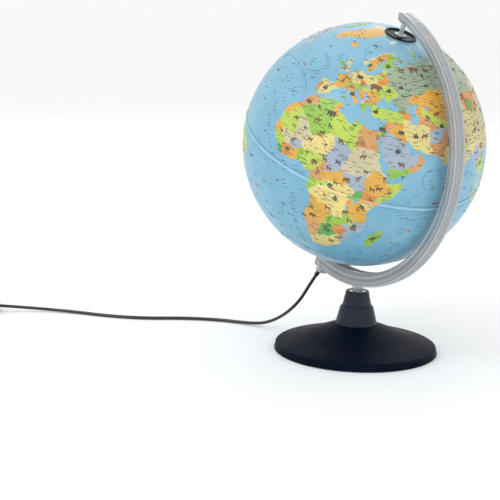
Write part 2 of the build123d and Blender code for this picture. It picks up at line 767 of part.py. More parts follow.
PLUG_GRIP_L = 22.0
PLUG_BODY_L = 34.0
PLUG_W = 35.0
PLUG_T = 13.7
PIN_SPACING = 18.6
PIN_L = 19.0
SLEEVE_L = 10.0
PIN_SHAFT_R = 2.0
PIN_NECK_R = 1.5
PIN_DEPTH = 10.0
SLEEVE_DEPTH = 2.0
PLUG_PLANE = Plane(origin=PLUG_START, x_dir=PLUG_DIR, z_dir=(0, 0, 1))


def on_plug(solid):
    return PLUG_PLANE.location * solid


def along_x(solid):
    """Lays a piece made along Z down along X."""
    return Rot(0, 90, 0) * solid


def plug_body():
    face_x = PLUG_GRIP_L + PLUG_BODY_L
    shoulder_x = PLUG_GRIP_L + 12.0
    outline = [(PLUG_GRIP_L - 2.0, 5.0), (shoulder_x, PLUG_W / 2 - 3.0), (face_x - 6.0, PLUG_W / 2),
               (face_x, PLUG_W / 2 - 3.5)]
    mirrored = [(x, -y) for x, y in reversed(outline)]
    plate = extrude(make_face(Polyline(*outline, *mirrored, close=True)), PLUG_T)
    plate = Pos(0, 0, -PLUG_T / 2) * plate
    plate = fillet(plate.edges().filter_by(Axis.Z).group_by(Axis.X)[-2], 4.0)
    plate = fillet(plate.edges().filter_by(Axis.Z).group_by(Axis.X)[1], 6.0)
    plate = fillet(plate.faces().filter_by(Axis.Z).edges(), 2.2)
    grip_end = PLUG_GRIP_L + 4.0
    grip = turned([(0, 0), (CORD_R + 0.5, 0), (4.8, PLUG_GRIP_L), (4.8, grip_end), (0, grip_end)])
    body = plate + along_x(grip) - along_x(rod(CORD_R, -1.0, 12.0))
    for side in (-1, 1):
        hole = along_x(rod(PIN_SHAFT_R, face_x - PIN_DEPTH, face_x + 1.0))
        body = body - Pos(0, side * PIN_SPACING / 2, 0) * hole
    return on_plug(body)


def plug_pin_outline():
    """One pin: thin inside its sleeve, full size beyond it, with a round tip."""
    face_x = PLUG_GRIP_L + PLUG_BODY_L
    low = face_x - PIN_DEPTH
    neck_low = face_x - SLEEVE_DEPTH
    neck_top = face_x + SLEEVE_L
    tip = face_x + PIN_L
    points = [
        (0, low), (PIN_SHAFT_R, low), (PIN_SHAFT_R, neck_low), (PIN_NECK_R, neck_low),
        (PIN_NECK_R, neck_top), (PIN_SHAFT_R, neck_top), (PIN_SHAFT_R, tip), (0, tip),
    ]
    return turned(points, [(6, 1.2)])


def plug_pins():
    return [on_plug(Pos(0, side * PIN_SPACING / 2, 0) * along_x(plug_pin_outline())) for side in (-1, 1)]


def plug_sleeves():
    face_x = PLUG_GRIP_L + PLUG_BODY_L
    sleeve = along_x(tube(PIN_SHAFT_R, PIN_NECK_R, face_x - SLEEVE_DEPTH, face_x + SLEEVE_L))
    return [on_plug(Pos(0, side * PIN_SPACING / 2, 0) * sleeve) for side in (-1, 1)]


def cord_end():
    """From the coil to the plug, and a little way into the plug's grip."""
    stub = on_plug(along_x(rod(CORD_R, 0.0, 12.0)))
    return stub + cord_tube("cord_end", END_ROUTE)


def main():
    os.makedirs("parts", exist_ok=True)
    groups = [
        base_foot, foot_pads, base_collar, base_neck, post_screw, post_washer, stand_post, meridian_arm,
        pole_pin, lamp_holder, holder_nut, socket_insert, socket_shell, socket_contact, bulb_cap,
        bulb_contact, bulb_insulator, bulb_body, bulb_dome, cord_grip, cord_lead, switch_case_lower,
        switch_case_upper, switch_screws, switch_terminals, switch_rocker, cord_coil, coil_tie, cord_end,
        plug_body, plug_pins, plug_sleeves, north_hemisphere, south_hemisphere, equator_ring, north_cap,
        south_collar,
    ]
    for make in groups:
        made = make()
        save(make.__name__, *(made if isinstance(made, list) else [made]))
    save("cord_tail", cord_tube("cord_tail", TAIL_ROUTE))
    pivot = SWITCH_PLANE.origin + Vector(0, 0, PIVOT_UP)
    print("nodes", len(NAMES), "exit", GRIP_TIP)
    print("rocker pivot", pivot, "axis", SWITCH_PLANE.y_dir)


main()
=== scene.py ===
import random
from math import asin, atan2, cos, degrees, dist, hypot, pi, radians, sin

import bmesh
import bpy
from mathutils import Matrix, Vector
from mathutils.geometry import delaunay_2d_cdt


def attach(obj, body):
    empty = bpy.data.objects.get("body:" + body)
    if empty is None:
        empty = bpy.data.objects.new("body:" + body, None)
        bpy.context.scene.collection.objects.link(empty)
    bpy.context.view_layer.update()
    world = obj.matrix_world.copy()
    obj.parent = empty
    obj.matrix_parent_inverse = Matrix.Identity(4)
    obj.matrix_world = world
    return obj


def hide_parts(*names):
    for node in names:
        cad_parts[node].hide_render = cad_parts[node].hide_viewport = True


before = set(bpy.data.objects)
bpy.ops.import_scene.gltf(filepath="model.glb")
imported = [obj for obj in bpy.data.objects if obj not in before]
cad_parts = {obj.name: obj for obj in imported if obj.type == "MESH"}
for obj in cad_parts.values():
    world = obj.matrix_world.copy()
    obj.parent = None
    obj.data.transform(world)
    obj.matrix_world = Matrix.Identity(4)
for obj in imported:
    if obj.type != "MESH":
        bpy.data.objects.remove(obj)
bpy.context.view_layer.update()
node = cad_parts
rng = random.Random(7)

# Sizes in metres

GLOBE_R = 0.150
SHELL = 0.0016
CENTRE = Vector((0, 0, 0.2623))
TILT = radians(23.5)
SEAM_LAT = 0.16
NORTH_LAT = 83.45
SOUTH_LAT = -80.0
WEST, EAST = -169.4, 190.6
MIDDLE_LON = (WEST + EAST) / 2
ARM_LON = 72.3
ARM_HALF_W = 0.0075
ARM_CENTRE = (CENTRE.x - 0.0088, 0, CENTRE.z + 0.001)
ARM_RADII = (0.160, 0.1797)
CORD_D = 0.0044
PRINT_LIFT = 0.00014
PRINT_SINK = 0.0002
MM_PER_DEGREE = radians(1) * GLOBE_R * 1000

AXIS_X = Vector((cos(TILT), 0, -sin(TILT)))
AXIS_Y = Vector((0, 1, 0))
AXIS_Z = Vector((sin(TILT), 0, cos(TILT)))


def on_globe(lon, lat, radius=GLOBE_R):
    """The place of a longitude and latitude, in degrees, at a distance from the ball's centre."""
    turn, rise = radians(lon - ARM_LON), radians(lat)
    level = AXIS_X * cos(turn) + AXIS_Y * sin(turn)
    return CENTRE + (level * cos(rise) + AXIS_Z * sin(rise)) * radius


def linear(text):
    """A colour written as six hex digits, as linear red, green, blue and alpha."""
    parts = [int(text[i:i + 2], 16) / 255 for i in (0, 2, 4)]
    return [((c + 0.055) / 1.055) ** 2.4 if c > 0.04 else c / 12.92 for c in parts] + [1]


# Materials


def new_material(name):
    mat = bpy.data.materials.new(name)
    mat.use_nodes = True
    return mat, mat.node_tree, mat.node_tree.nodes["Principled BSDF"]


def settings(target, values):
    for key, value in values.items():
        target.inputs[key].default_value = value


def added(tree, kind, **values):
    """A new shader node, with the named inputs set."""
    made = tree.nodes.new("ShaderNode" + kind)
    settings(made, values)
    return made


def noise(tree, scale, detail=4):
    """Noise fixed to the piece, about 0.3 to 0.7."""
    place = added(tree, "TexCoord")
    tex = added(tree, "TexNoise", Scale=scale, Detail=detail, Roughness=0.6)
    tree.links.new(place.outputs["Object"], tex.inputs["Vector"])
    return tex.outputs["Fac"]


def ranged(tree, value, low, high, start=0.3, end=0.7):
    """Stretches a value from start and end to low and high, and stops there."""
    step = added(tree, "MapRange")
    settings(step, {"From Min": start, "From Max": end, "To Min": low, "To Max": high})
    tree.links.new(value, step.inputs["Value"])
    return step.outputs["Result"]


def blend(tree, factor, first, second, mode="MIX"):
    """Mixes two colours, each a list or a socket, by a socket or a number."""
    mix = added(tree, "Mix")
    mix.data_type = "RGBA"
    mix.blend_type = mode
    for value, socket in ((factor, mix.inputs[0]), (first, mix.inputs[6]), (second, mix.inputs[7])):
        if isinstance(value, bpy.types.NodeSocket):
            tree.links.new(value, socket)
        else:
            socket.default_value = value
    return mix.outputs[2]


def ramp(tree, value, stops, mode="LINEAR"):
    """A colour for a value from 0 to 1, from stops of position and colour, in order."""
    made = added(tree, "ValToRGB")
    made.color_ramp.interpolation = mode
    marks = made.color_ramp.elements
    for index, (spot, tone) in enumerate(stops):
        mark = marks[index] if index < 2 else marks.new(spot)
        mark.position = spot
        mark.color = linear(tone)
    tree.links.new(value, made.inputs["Fac"])
    return made.outputs["Color"]


def bump(tree, shader, height, depth, strength=0.5):
    relief = added(tree, "Bump", Strength=strength, Distance=depth)
    tree.links.new(height, relief.inputs["Height"])
    tree.links.new(relief.outputs["Normal"], shader.inputs["Normal"])


def surface(name, light, dark, rough, metal=0.0, coat=0.0, grain=900, depth=0.00003, spread=0.08,
            tone=35, specular=0.5):
    """A two-tone surface with a fine grain in its relief and an uneven gloss."""
    mat, tree, shader = new_material(name)
    shade = blend(tree, ranged(tree, noise(tree, tone), 0, 1), linear(dark), linear(light))
    fleck = blend(tree, ranged(tree, noise(tree, grain, 2), 0, 0.35), shade, linear(dark))
    tree.links.new(fleck, shader.inputs["Base Color"])
    gloss = ranged(tree, noise(tree, tone * 2.3), rough - spread / 2, rough + spread / 2)
    tree.links.new(gloss, shader.inputs["Roughness"])
    settings(shader, {
        "Metallic": metal, "Specular IOR Level": specular, "Coat Weight": coat, "Coat Roughness": 0.12,
    })
    bump(tree, shader, noise(tree, grain, 3), depth)
    return mat


def painted_arm_light_lines(tree):
    """Painted highlights and painted shade: light and dark lines along the arm, across its width and
    outward from its centre, where the moulded rib edges would catch and bend the light.
    """
    place = added(tree, "TexCoord")
    parts = added(tree, "SeparateXYZ")
    tree.links.new(place.outputs["Object"], parts.inputs["Vector"])
    width = ranged(tree, parts.outputs["Y"], 0, 1, -ARM_HALF_W, ARM_HALF_W)
    across = ramp(tree, width, [
        (0, "D6DBDE"), (0.07, "F4F6F7"), (0.13, "A2A9AE"), (0.27, "B4BBBF"), (0.36, "F6F8F8"),
        (0.41, "9AA2A7"), (0.5, "BCC3C7"), (0.58, "F2F4F5"), (0.64, "A2A9AE"), (0.8, "B4BBBF"),
        (0.93, "F4F6F7"), (1, "D6DBDE"),
    ])
    flat_place = added(tree, "VectorMath")
    flat_place.operation = "MULTIPLY"
    flat_place.inputs[1].default_value = (1, 0, 1)
    span = added(tree, "VectorMath")
    span.operation = "DISTANCE"
    span.inputs[1].default_value = ARM_CENTRE
    tree.links.new(place.outputs["Object"], flat_place.inputs[0])
    tree.links.new(flat_place.outputs["Vector"], span.inputs[0])
    outward = ramp(tree, ranged(tree, span.outputs["Value"], 0, 1, *ARM_RADII), [
        (0, "A2A9AD"), (0.28, "B4BBBF"), (0.36, "FFFFFF"), (0.44, "FFFFFF"), (0.5, "A3AAAF"),
        (0.66, "C6CBCF"), (0.76, "FFFFFF"), (0.84, "AEB5B9"), (0.95, "F4F6F7"), (1, "FFFFFF"),
    ])
    return blend(tree, 1.0, across, outward, "MULTIPLY")


def clear_plastic(name, painted_rib_light=False):
    """Moulded clear plastic, hazy and greyish; where asked, painted highlights and painted shade as light
    and dark lines where the moulding has rib edges.
    """
    mat, tree, shader = new_material(name)
    tint = blend(tree, ranged(tree, noise(tree, 30), 0, 1), linear("C8CDD1"), linear("DCE0E3"))
    if painted_rib_light:
        # painted highlights and painted shade: light and dark lines laid over the plastic's colour
        tint = blend(tree, ranged(tree, noise(tree, 18), 0.6, 0.95), tint, painted_arm_light_lines(tree))
    tree.links.new(tint, shader.inputs["Base Color"])
    gloss = ranged(tree, noise(tree, 45), 0.14, 0.24)
    tree.links.new(gloss, shader.inputs["Roughness"])
    settings(shader, {"Transmission Weight": 0.45, "IOR": 1.49, "Coat Weight": 0.6, "Coat Roughness": 0.06})
    bump(tree, shader, noise(tree, 60, 2), 0.00006, 0.15)
    return mat


def printed(name, attribute):
    """Printed map under a satin varnish: each face's own colour, with pale dots and soft clouds."""
    mat, tree, shader = new_material(name)
    tint = added(tree, "Attribute")
    tint.attribute_name = attribute
    cloud = ranged(tree, noise(tree, 22, 6), 0, 1)
    shaded = blend(tree, cloud, linear("DCE4E8"), linear("FFFFFF"))
    base = blend(tree, 1.0, tint.outputs["Color"], shaded, "MULTIPLY")
    dots = ranged(tree, noise(tree, 1400, 1), 0, 0.07)
    base = blend(tree, dots, base, linear("FFFFFF"))
    tree.links.new(base, shader.inputs["Base Color"])
    gloss = ranged(tree, noise(tree, 40), 0.30, 0.40)
    tree.links.new(gloss, shader.inputs["Roughness"])
    settings(shader, {"Specular IOR Level": 0.35, "Coat Weight": 0.12, "Coat Roughness": 0.2})
    bump(tree, shader, noise(tree, 260, 2), 0.00004, 0.2)
    return mat


def banded(name, bands):
    """The raised ring's print: sea, with land between the listed longitudes."""
    mat, tree, shader = new_material(name)
    place = added(tree, "TexCoord")
    tip = added(tree, "VectorRotate", Center=CENTRE, Angle=-TILT)
    tip.rotation_type = "Y_AXIS"
    parts = added(tree, "SeparateXYZ")
    angle = added(tree, "Math")
    angle.operation = "ARCTAN2"
    tree.links.new(place.outputs["Object"], tip.inputs["Vector"])
    tree.links.new(tip.outputs["Vector"], parts.inputs["Vector"])
    tree.links.new(parts.outputs["Y"], angle.inputs[0])
    tree.links.new(parts.outputs["X"], angle.inputs[1])
    share = ranged(tree, angle.outputs["Value"], 0, 1, -pi, pi)
    places = sorted((((lon - ARM_LON + 180) % 360) / 360, tone) for lon, tone in bands)
    bands_round = ramp(tree, share, [(0, places[-1][1]), *places], "CONSTANT")
    pale = blend(tree, ranged(tree, noise(tree, 70), 0.04, 0.16), bands_round, linear("FFFFFF"))
    tree.links.new(pale, shader.inputs["Base Color"])
    tree.links.new(ranged(tree, noise(tree, 90), 0.22, 0.32), shader.inputs["Roughness"])
    bump(tree, shader, noise(tree, 400, 2), 0.00003, 0.3)
    return mat


# The map: outlines in degrees, "longitude latitude", from west of Tangier round Africa and Eurasia.
# The plane of the map is cut at the Bering Strait, so longitudes run from -169.4 to 190.6.

AFRO_EURASIA = """
-5.9 35.8,-6.8 34.1,-8.6 33.2,-9.8 31.4,-9.7 29.9,-11.5 28.3,-13 27.7,-14.6 26.2,-16 23.8,-17 21.2,
-16.4 19.5,-16.2 17.5,-16.6 15.8,-17.4 14.7,-16.7 13.3,-16.7 12.2,-15.2 11.1,-13.7 9.8,-13.2 8.5,-11.5 6.9,
-9.2 5.2,-7.6 4.4,-5 5.1,-2.9 5,-1.9 4.8,1 5.9,2.5 6.3,4.4 6.3,5.4 5.2,6.1 4.3,7.6 4.5,8.7 4.6,9.7 3.8,
9.8 2.3,9.4 1,9.3 -0.5,8.8 -0.8,9.6 -2.4,11 -3.9,12.2 -5.4,13.4 -8,13.3 -9.3,13.8 -10.8,13.5 -12.6,
12.4 -13.9,12 -15.8,11.8 -17.8,13.3 -21,14.4 -22.8,14.8 -25.5,15.4 -27.5,16.9 -29,17.8 -31.2,18.3 -32.8,
18.4 -34.2,20 -34.8,22.2 -34.1,24.8 -34.1,25.7 -33.9,27.5 -33.2,29.5 -31.4,31.3 -29.5,32.5 -28.4,32.9 -26.2,
35.4 -24.3,35.5 -22.2,34.8 -20,36.8 -17.9,40 -16.3,40.7 -14.8,40.6 -12.5,40.4 -10.6,39.5 -8.8,39.4 -6.9,
38.9 -5.6,39.6 -4.2,40.3 -2.7,42 -1,43.3 0.6,45.4 2.1,47.8 4.3,49.4 6.9,50.8 9.2,51.2 11.8,49 11.3,
46.5 10.7,44.2 10.4,43.2 11.4,43.1 12.5,41 14.4,39.5 15.4,38.5 17.8,37.3 19,37.2 21,35.6 23.9,34 26.6,
32.9 29,32.5 29.9,33.2 28.6,34.2 27.8,34.9 29.4,34.8 28,35.6 27.3,36.6 25.9,37.3 24.4,38.9 22,39.1 20.5,
40.7 19.4,42.3 16.9,42.8 15.2,43.5 12.8,45 12.8,47.8 13.9,49.9 14.8,52.2 15.7,55 17,56.4 18.2,57.8 19,
58.6 20.5,59.8 22.4,58.6 23.6,57 24.1,56.3 26.2,55.5 25.5,54 24.2,51.8 24.1,51.5 25.8,50.8 25.4,50.2 26.6,
49 27.8,48.3 29.2,48 30,49.5 30.1,50.8 29,52.5 27.6,54.8 26.5,56.8 27.1,57.3 25.7,61.6 25.2,66.5 25.4,
67.3 24,70 22.7,69 22.2,70.8 20.8,72.6 21.5,72.8 19,73.5 16,74.8 12.9,76.3 9.8,77.5 8.1,79 9.3,79.8 11.5,
80.2 13.6,80.2 15.5,82.3 16.7,84.8 19,87 20.8,88 21.7,90.5 22,91.9 22.3,92.5 20.6,94.2 18.5,94.4 16,97 16.6,
97.9 15.2,98.6 13,98.5 10.3,98.3 8,100.3 5.8,101.4 2.8,103.5 1.3,103.4 3.8,102.2 6.2,100.4 7.3,99.2 9.5,
100 12.5,100.6 13.4,102.3 12.2,103.6 10.6,104.9 8.7,106.8 10.5,109.2 12,108.8 15.2,106.4 18,105.8 19.5,
107.5 21.3,109.8 21.5,110.2 20.4,111.8 21.6,114.2 22.4,117 23.6,119.5 25.8,121.7 28.8,121.9 31.5,120.3 34,
119.3 35.2,122.4 37.2,119.2 37.4,117.8 39.1,121.2 40.8,121.4 39,124.4 40,125.2 38,126.6 36.8,126.4 34.6,
129.2 35.3,129.4 37.2,127.5 39.6,129.8 41.5,132 43.2,135.5 44.8,138.5 47,140.4 49.5,141.2 52.5,138.8 54.3,
135.3 54.8,139 57,143.2 59.3,149 59.5,154.5 59.6,156.5 61.6,160.2 60.8,163.5 62.5,162.5 60,158.5 58,156 57,
155.7 54,156.7 51.1,159.9 53,162.2 56,163.3 58.5,166.5 60.3,170.5 60,174.5 61.8,179 62.4,177.5 64.7,
181.5 64.8,187.5 64.4,190 66.1,185 67.2,180 68.9,176 69.8,170.5 69.9,170 68.9,161.5 69.5,159.5 70.8,152 71,
140 72.6,133 71.6,129 71.3,126.5 73.5,119 73,113.5 73.6,110 76.6,104.3 77.7,99 76.3,90 75.5,86.5 73.9,
80.5 73.6,80.7 72,77 72.3,75 71.2,73.8 68,72 67.5,72.8 72.8,69 72.8,66.8 70.8,67.2 69,64.5 69.3,60.5 69.8,
59 68.4,54.5 68.3,52.5 67.3,46.5 68.2,44 68.5,44.2 66.1,40.5 64.6,38 64.2,34.8 64.4,33 66.6,38.5 66.1,
41.2 66.8,40.8 67.8,36 69.1,31 69.7,28.2 71,23.5 70.5,19 69.6,15 68.4,13 66.3,11 64.5,8.6 63,5.2 61.8,
5.1 60,5.8 58.7,8 58.1,9.8 59,10.7 59.5,11.3 58.8,12 57.2,12.8 55.6,14.3 55.6,16.4 56.6,16.8 58.4,18.6 59.5,
17.3 61,18.2 62.6,21 64.3,22.3 65.8,25.2 64.8,22.5 63.5,21.3 62,21.6 60.6,23 59.9,25.5 60.3,29 60.3,30 59.9,
27.5 59.5,23.8 59.3,24.2 58.2,23.8 57,21.6 57.5,21 55.9,20.4 54.8,18.9 54.5,16.5 54.4,14.2 53.9,12.3 54.3,
10.9 54.3,9.9 55,10.5 56.5,10.4 57.6,8.2 57,8.2 55.2,8.7 53.9,7 53.5,4.8 52.8,3.7 51.5,1.7 50.6,0.2 49.6,
-1.3 49.6,-1.6 48.7,-4.6 48.5,-2.6 47.3,-1.2 45.9,-1.4 43.6,-3.8 43.5,-7.8 43.7,-9.2 43,-8.8 41,-9.4 38.8,
-8.9 37,-7 37.1,-5.6 36.1,-4.4 36.7,-2.2 36.8,-0.6 37.8,0.1 38.8,-0.2 39.9,1 41.1,3.2 42,3.2 43.1,4.9 43.4,
7.4 43.7,8.8 44.4,10.3 43.5,11.8 42.1,13.8 41.2,15.6 40,16.1 38.8,15.8 38,16.9 38.9,17 40.4,18.5 39.9,
17.9 40.8,16 41.8,14.2 42.5,12.6 44.1,12.3 45.4,13.7 45.6,14.8 44.9,16.4 43.5,18.9 42.2,19.4 41.3,19.6 40,
20.8 38.6,21.6 36.9,23 36.6,23.3 37.9,24 37.7,22.9 39,22.7 40.3,24.2 40.3,26.1 40.8,26.3 39.5,26.8 38.3,
27.5 37,28.6 36.6,30.6 36.6,32.2 36.1,34.6 36.7,36 36.6,35.8 35.2,35 33,34.3 31.4,32.5 31.2,31 31.5,29 30.9,
25.2 31.6,23.2 32.3,21.5 32.9,20.1 32.1,20 30.9,18 30.4,15.4 31.6,15.2 32.3,12.3 32.9,11.1 33.4,10.2 34.2,
10.8 35.6,11 37,9.7 37.3,7 37,3 36.9,0 35.9,-2.2 35.2,-4.8 35.3
"""
AMERICAS = """
-168 65.6,-164.5 66.5,-166.5 68.3,-156.6 71.3,-143 70.1,-135 69.4,-128 70.3,-120 69.6,-114 68.3,-108 68,
-98 67.9,-95 71.9,-93 69.7,-88 68,-82 69.6,-82 66.6,-87.5 64.8,-94.5 61,-94.5 58.8,-92 57,-85 55.4,-82.2 55,
-81 52.2,-79 51.3,-79 54.6,-76.5 56.5,-78.3 59,-77.5 62.5,-73.5 62.3,-69.5 61,-69.8 58.8,-66 58.7,
-64.5 60.3,-61.5 57,-57.5 54.6,-55.8 52.4,-60 50.2,-66.5 50.2,-69.5 48,-65 49.2,-65 47.5,-61 45.5,-66 43.7,
-67 44.8,-70.3 43.5,-70.8 42,-74 40.6,-75.5 37.8,-76 35.5,-78.5 33.8,-81.4 31,-80.2 26.5,-81 25.2,-82.7 28,
-84 30,-88.5 30.3,-90 29.2,-94.5 29.5,-97.4 27.5,-97.8 22.5,-95.8 18.8,-94 18.2,-91 18.8,-90.3 21,-87 21.5,
-88 17.8,-88.5 15.9,-83.3 15,-83.7 11.5,-82 9,-79.6 9.5,-77.4 8.6,-75.5 10.6,-72 12.2,-71.3 10.9,-67 10.5,
-62.5 10.6,-60 8.4,-57 6,-51.8 4.6,-50 1,-48 -0.9,-44.3 -2.6,-40 -2.9,-37 -4.8,-35 -6.5,-35 -9,-38.5 -13,
-39.2 -17.5,-41 -21.8,-44 -23,-48.3 -25.6,-48.7 -28.5,-52.2 -32.5,-54.5 -34.8,-58.3 -34,-57.3 -36.5,
-58 -38.2,-62.2 -38.9,-62.8 -41,-65 -41,-63.8 -42.8,-67.3 -45.8,-65.8 -47.3,-69 -50.5,-68.4 -52.4,
-65.2 -54.7,-70.5 -55.2,-74.5 -52.5,-75.5 -48,-73.5 -44,-73.7 -39.5,-71.6 -33.5,-70.3 -27,-70.3 -18.5,
-76.2 -14,-79.5 -7.8,-81.2 -5,-80.2 -3,-80.5 -0.5,-78.8 1.5,-77.3 4.5,-78.2 7.5,-80 7.3,-83 8.2,-85.8 10.2,
-87.6 12.9,-91.5 14,-94.5 16.2,-99.5 16.7,-105 19.5,-105.5 22,-109.3 26,-112.5 30,-114.8 31.6,-112 27.5,
-109.6 23.1,-112.3 25.5,-115 28,-117.2 32.5,-120.6 34.6,-122.5 37.5,-124.3 40.4,-124.2 46.5,-123.2 48.8,
-127.5 51,-131 55.5,-137 58.8,-146 60.8,-152 59.5,-157.5 57,-163.5 55,-158 58.5,-162 59.5,-165.5 62.5,
-161 64.5
"""
ISLANDS = {
    "greenland": """-73 78.3,-66 79.5,-60 82,-45 82.5,-30 83.3,-21 82,-18 79.5,-20 76,-22 73,-24.5 70.5,
    -32.5 68.2,-38 65.8,-42.5 61,-44.5 60,-48.5 61.3,-52 64.5,-53.5 67.5,-51.5 70,-55 72.5,
    -58.5 75.6,-66 76""",
    "britain": """-5.6 50.1,-3.5 50.3,1.2 51.2,1.6 52.7,0.2 53.2,-1.2 54.8,-2 56,-1.9 57.6,-4 57.7,
    -3.2 58.6,-5 58.6,-6 56.6,-4.8 55,-3 54,-4.4 53.2,-4.6 52,-5.2 51.7,-3 51.4""",
    "ireland": "-10 51.8,-6.4 52.2,-6 53.8,-5.6 54.6,-7.3 55.3,-8.6 54.4,-10 54.2,-9.2 53.2",
    "iceland": "-24 65.5,-22 66.4,-16 66.4,-13.7 65.2,-18.8 63.4,-22.6 63.9,-22 64.8",
    "svalbard": "11 79.2,18 80.1,26 80.2,21 78.3,16.5 76.7,12.5 78",
    "novaya_zemlya": "51.5 71.5,57.5 70.6,56 73,61 75.3,68.5 76.8,60 76.2,54 73.8",
    "severnaya_zemlya": "95 79,104 79,97 81",
    "madagascar": """49.3 -12,50.4 -15.6,49.4 -18,47.2 -24.8,45.2 -25.5,43.5 -23.2,44.4 -20,44 -17.5,
    46.3 -15.7,48 -13.8""",
    "sri_lanka": "80 9.6,81.8 7.5,80.8 6,79.8 7.5",
    "sumatra": "95.4 5.6,100.4 2.3,103.8 -1,106 -3.2,105.8 -5.8,102.3 -4,98.7 1.5",
    "java": "105.3 -6.7,108.5 -6.7,112.6 -6.9,114.5 -8,111 -8.2,106.5 -7.4",
    "borneo": "109 1.5,111.4 2.5,115 5,117 7,119 5,117.8 1,116.2 -3.5,114.5 -4,110.2 -2.9",
    "sulawesi": "120 0.8,125 1.6,121 0.5,123.2 -0.9,121.5 -2,122.8 -4.5,120.5 -5.5,119.6 -3.5",
    "new_guinea": """131 -0.8,134 -0.8,135.2 -3.3,138 -1.6,144.5 -3.9,147.8 -6,150.8 -10.3,147 -9.4,143 -9,
    138.5 -8.3,137.8 -5.2,133 -4""",
    "luzon": "120.5 18.5,122.2 18.4,121.6 15.5,124 12.8,120.7 13.8,119.9 16.3",
    "mindanao": "122 7,125.5 9.7,126.5 7.2,125.4 5.7",
    "honshu": """130.9 34,133 35.5,136.8 37.4,139.5 38.5,141.3 41.4,142 39.5,140.8 35.8,137 34.7,135.7 33.5,
    132.5 34.2""",
    "hokkaido": "140 42,141.8 45.4,145.3 43.3,143.2 42",
    "kyushu": "130 33.2,131.8 33.4,131.2 31.4,130.2 31.3",
    "sakhalin": "142 46,143.6 49.2,143 54.3,141.8 50.5",
    "taiwan": "121.5 25.2,120.8 22,120.1 23.5",
    "australia": """142.5 -10.8,143.8 -14.4,145.4 -16.5,146.3 -19,149.5 -22.3,153.2 -25.5,153.5 -28.5,
    151.5 -33,150 -37.3,146.4 -39.1,143.5 -38.8,140 -37.5,138.3 -35,137.8 -33,135.8 -34.8,134.2 -33,
    131.2 -31.5,126 -32.3,123.6 -33.9,119.9 -34,115.1 -34.3,115.7 -31.5,113.5 -26.2,114 -22,118 -20.4,
    121.8 -18.5,123.7 -16.5,126.6 -14.1,129.5 -14.9,130.8 -12.4,136.6 -12.1,135.6 -15,139 -17.4,141 -16.5,
    141.6 -12.8""",
    "tasmania": "144.8 -40.8,148.2 -40.9,147.5 -43.4,145.8 -43.2",
    "north_island": "173 -34.5,175.5 -36.8,178.4 -37.7,176.9 -40,175.2 -41.5,174 -39.2",
    "south_island": "172.8 -40.6,174.2 -41.8,171.3 -44.2,168.8 -46.6,166.6 -45.9,170.5 -43",
    "baffin": "-89 70.5,-80 73.7,-73 71.3,-68 69,-62 66.8,-66 62.5,-72.5 64.5,-73 68",
    "victoria": "-117 71.5,-105.5 73,-102 69.3,-113.5 69",
    "ellesmere": "-89 76.5,-78.5 76.6,-64.5 81.5,-75 83,-91 81.5",
    "banks": "-125 74,-120 74,-122 71.4",
    "newfoundland": "-59.2 47.8,-56 51.3,-53 48.2,-55.5 46.9",
    "cuba": "-84.5 22,-80.5 23,-75 20.7,-77.5 19.9",
    "hispaniola": "-74 19.6,-69 19.2,-71 17.8",
    "sicily": "12.5 38,15.5 38.2,15.1 36.8",
    "sardinia": "8.3 40.8,9.7 40.9,9.5 39.2,8.5 39",
    "corsica": "8.7 42.6,9.5 42.8,9.3 41.5",
    "crete": "23.6 35.5,26.2 35.2,24.8 34.9",
    "cyprus": "32.3 35.1,34.4 35.6,33 34.6",
    "antarctica": """-169.4 -78,-150 -77,-130 -74.5,-110 -74.5,-95 -73,-75 -72.5,-67 -67.5,-57.5 -63.3,
    -61 -68,-62 -75,-50 -78,-30 -76.5,-15 -72.5,0 -70,20 -69.5,40 -68.7,55 -66,70 -69,80 -67,100 -66,
    115 -66.5,135 -66,150 -68.5,165 -71,170 -74,165 -78,180 -78,190.6 -78,190.6 -85,-169.4 -85""",
}
LAKES = {
    "black_sea": """28.2 43.5,28 42,29 41.2,31.5 41.3,35 42,38.5 41,41.5 41.6,41.5 42.8,39 44.2,37 45.2,
    38.5 47,35 46.2,36.3 45.3,35 44.9,33.6 44.4,32.5 45.6,31 46.6,29.7 45.2""",
    "caspian": """49.5 45.6,51.5 46.9,53.2 46.6,53 45.2,51 44.4,52.5 42,54 41.5,53.8 37.2,50 37.5,49 38.5,
    49.5 40.5,47.8 42.8,47 44.5""",
    "aral": "58.4 44.4,59 46.2,61.2 46.3,60.2 44.2",
    "balkhash": "74 45.4,75.5 46.4,79 46.6,77 46.1",
    "victoria_lake": "31.8 -0.5,33 0.4,34.2 -0.4,33.3 -2.3,32 -2.4",
    "tanganyika": "29.2 -3.5,29.8 -4.2,31 -8.6,30.2 -7.4",
    "malawi": "34 -9.8,34.8 -12,35.2 -14.2,34.3 -12.2",
    "baikal": "103.8 51.6,107 52.6,109.9 55.6,108.5 53.6",
    "ladoga": "30.9 61.2,32.6 61,31.8 59.9",
    "superior": "-92 46.8,-88 48.6,-84.7 46.8,-88 46.9",
    "michigan": "-87.8 42,-86.2 43.5,-85.2 45.8,-87.5 44.8",
    "huron": "-84 46,-80.5 45,-82 43.2,-83.3 45",
}
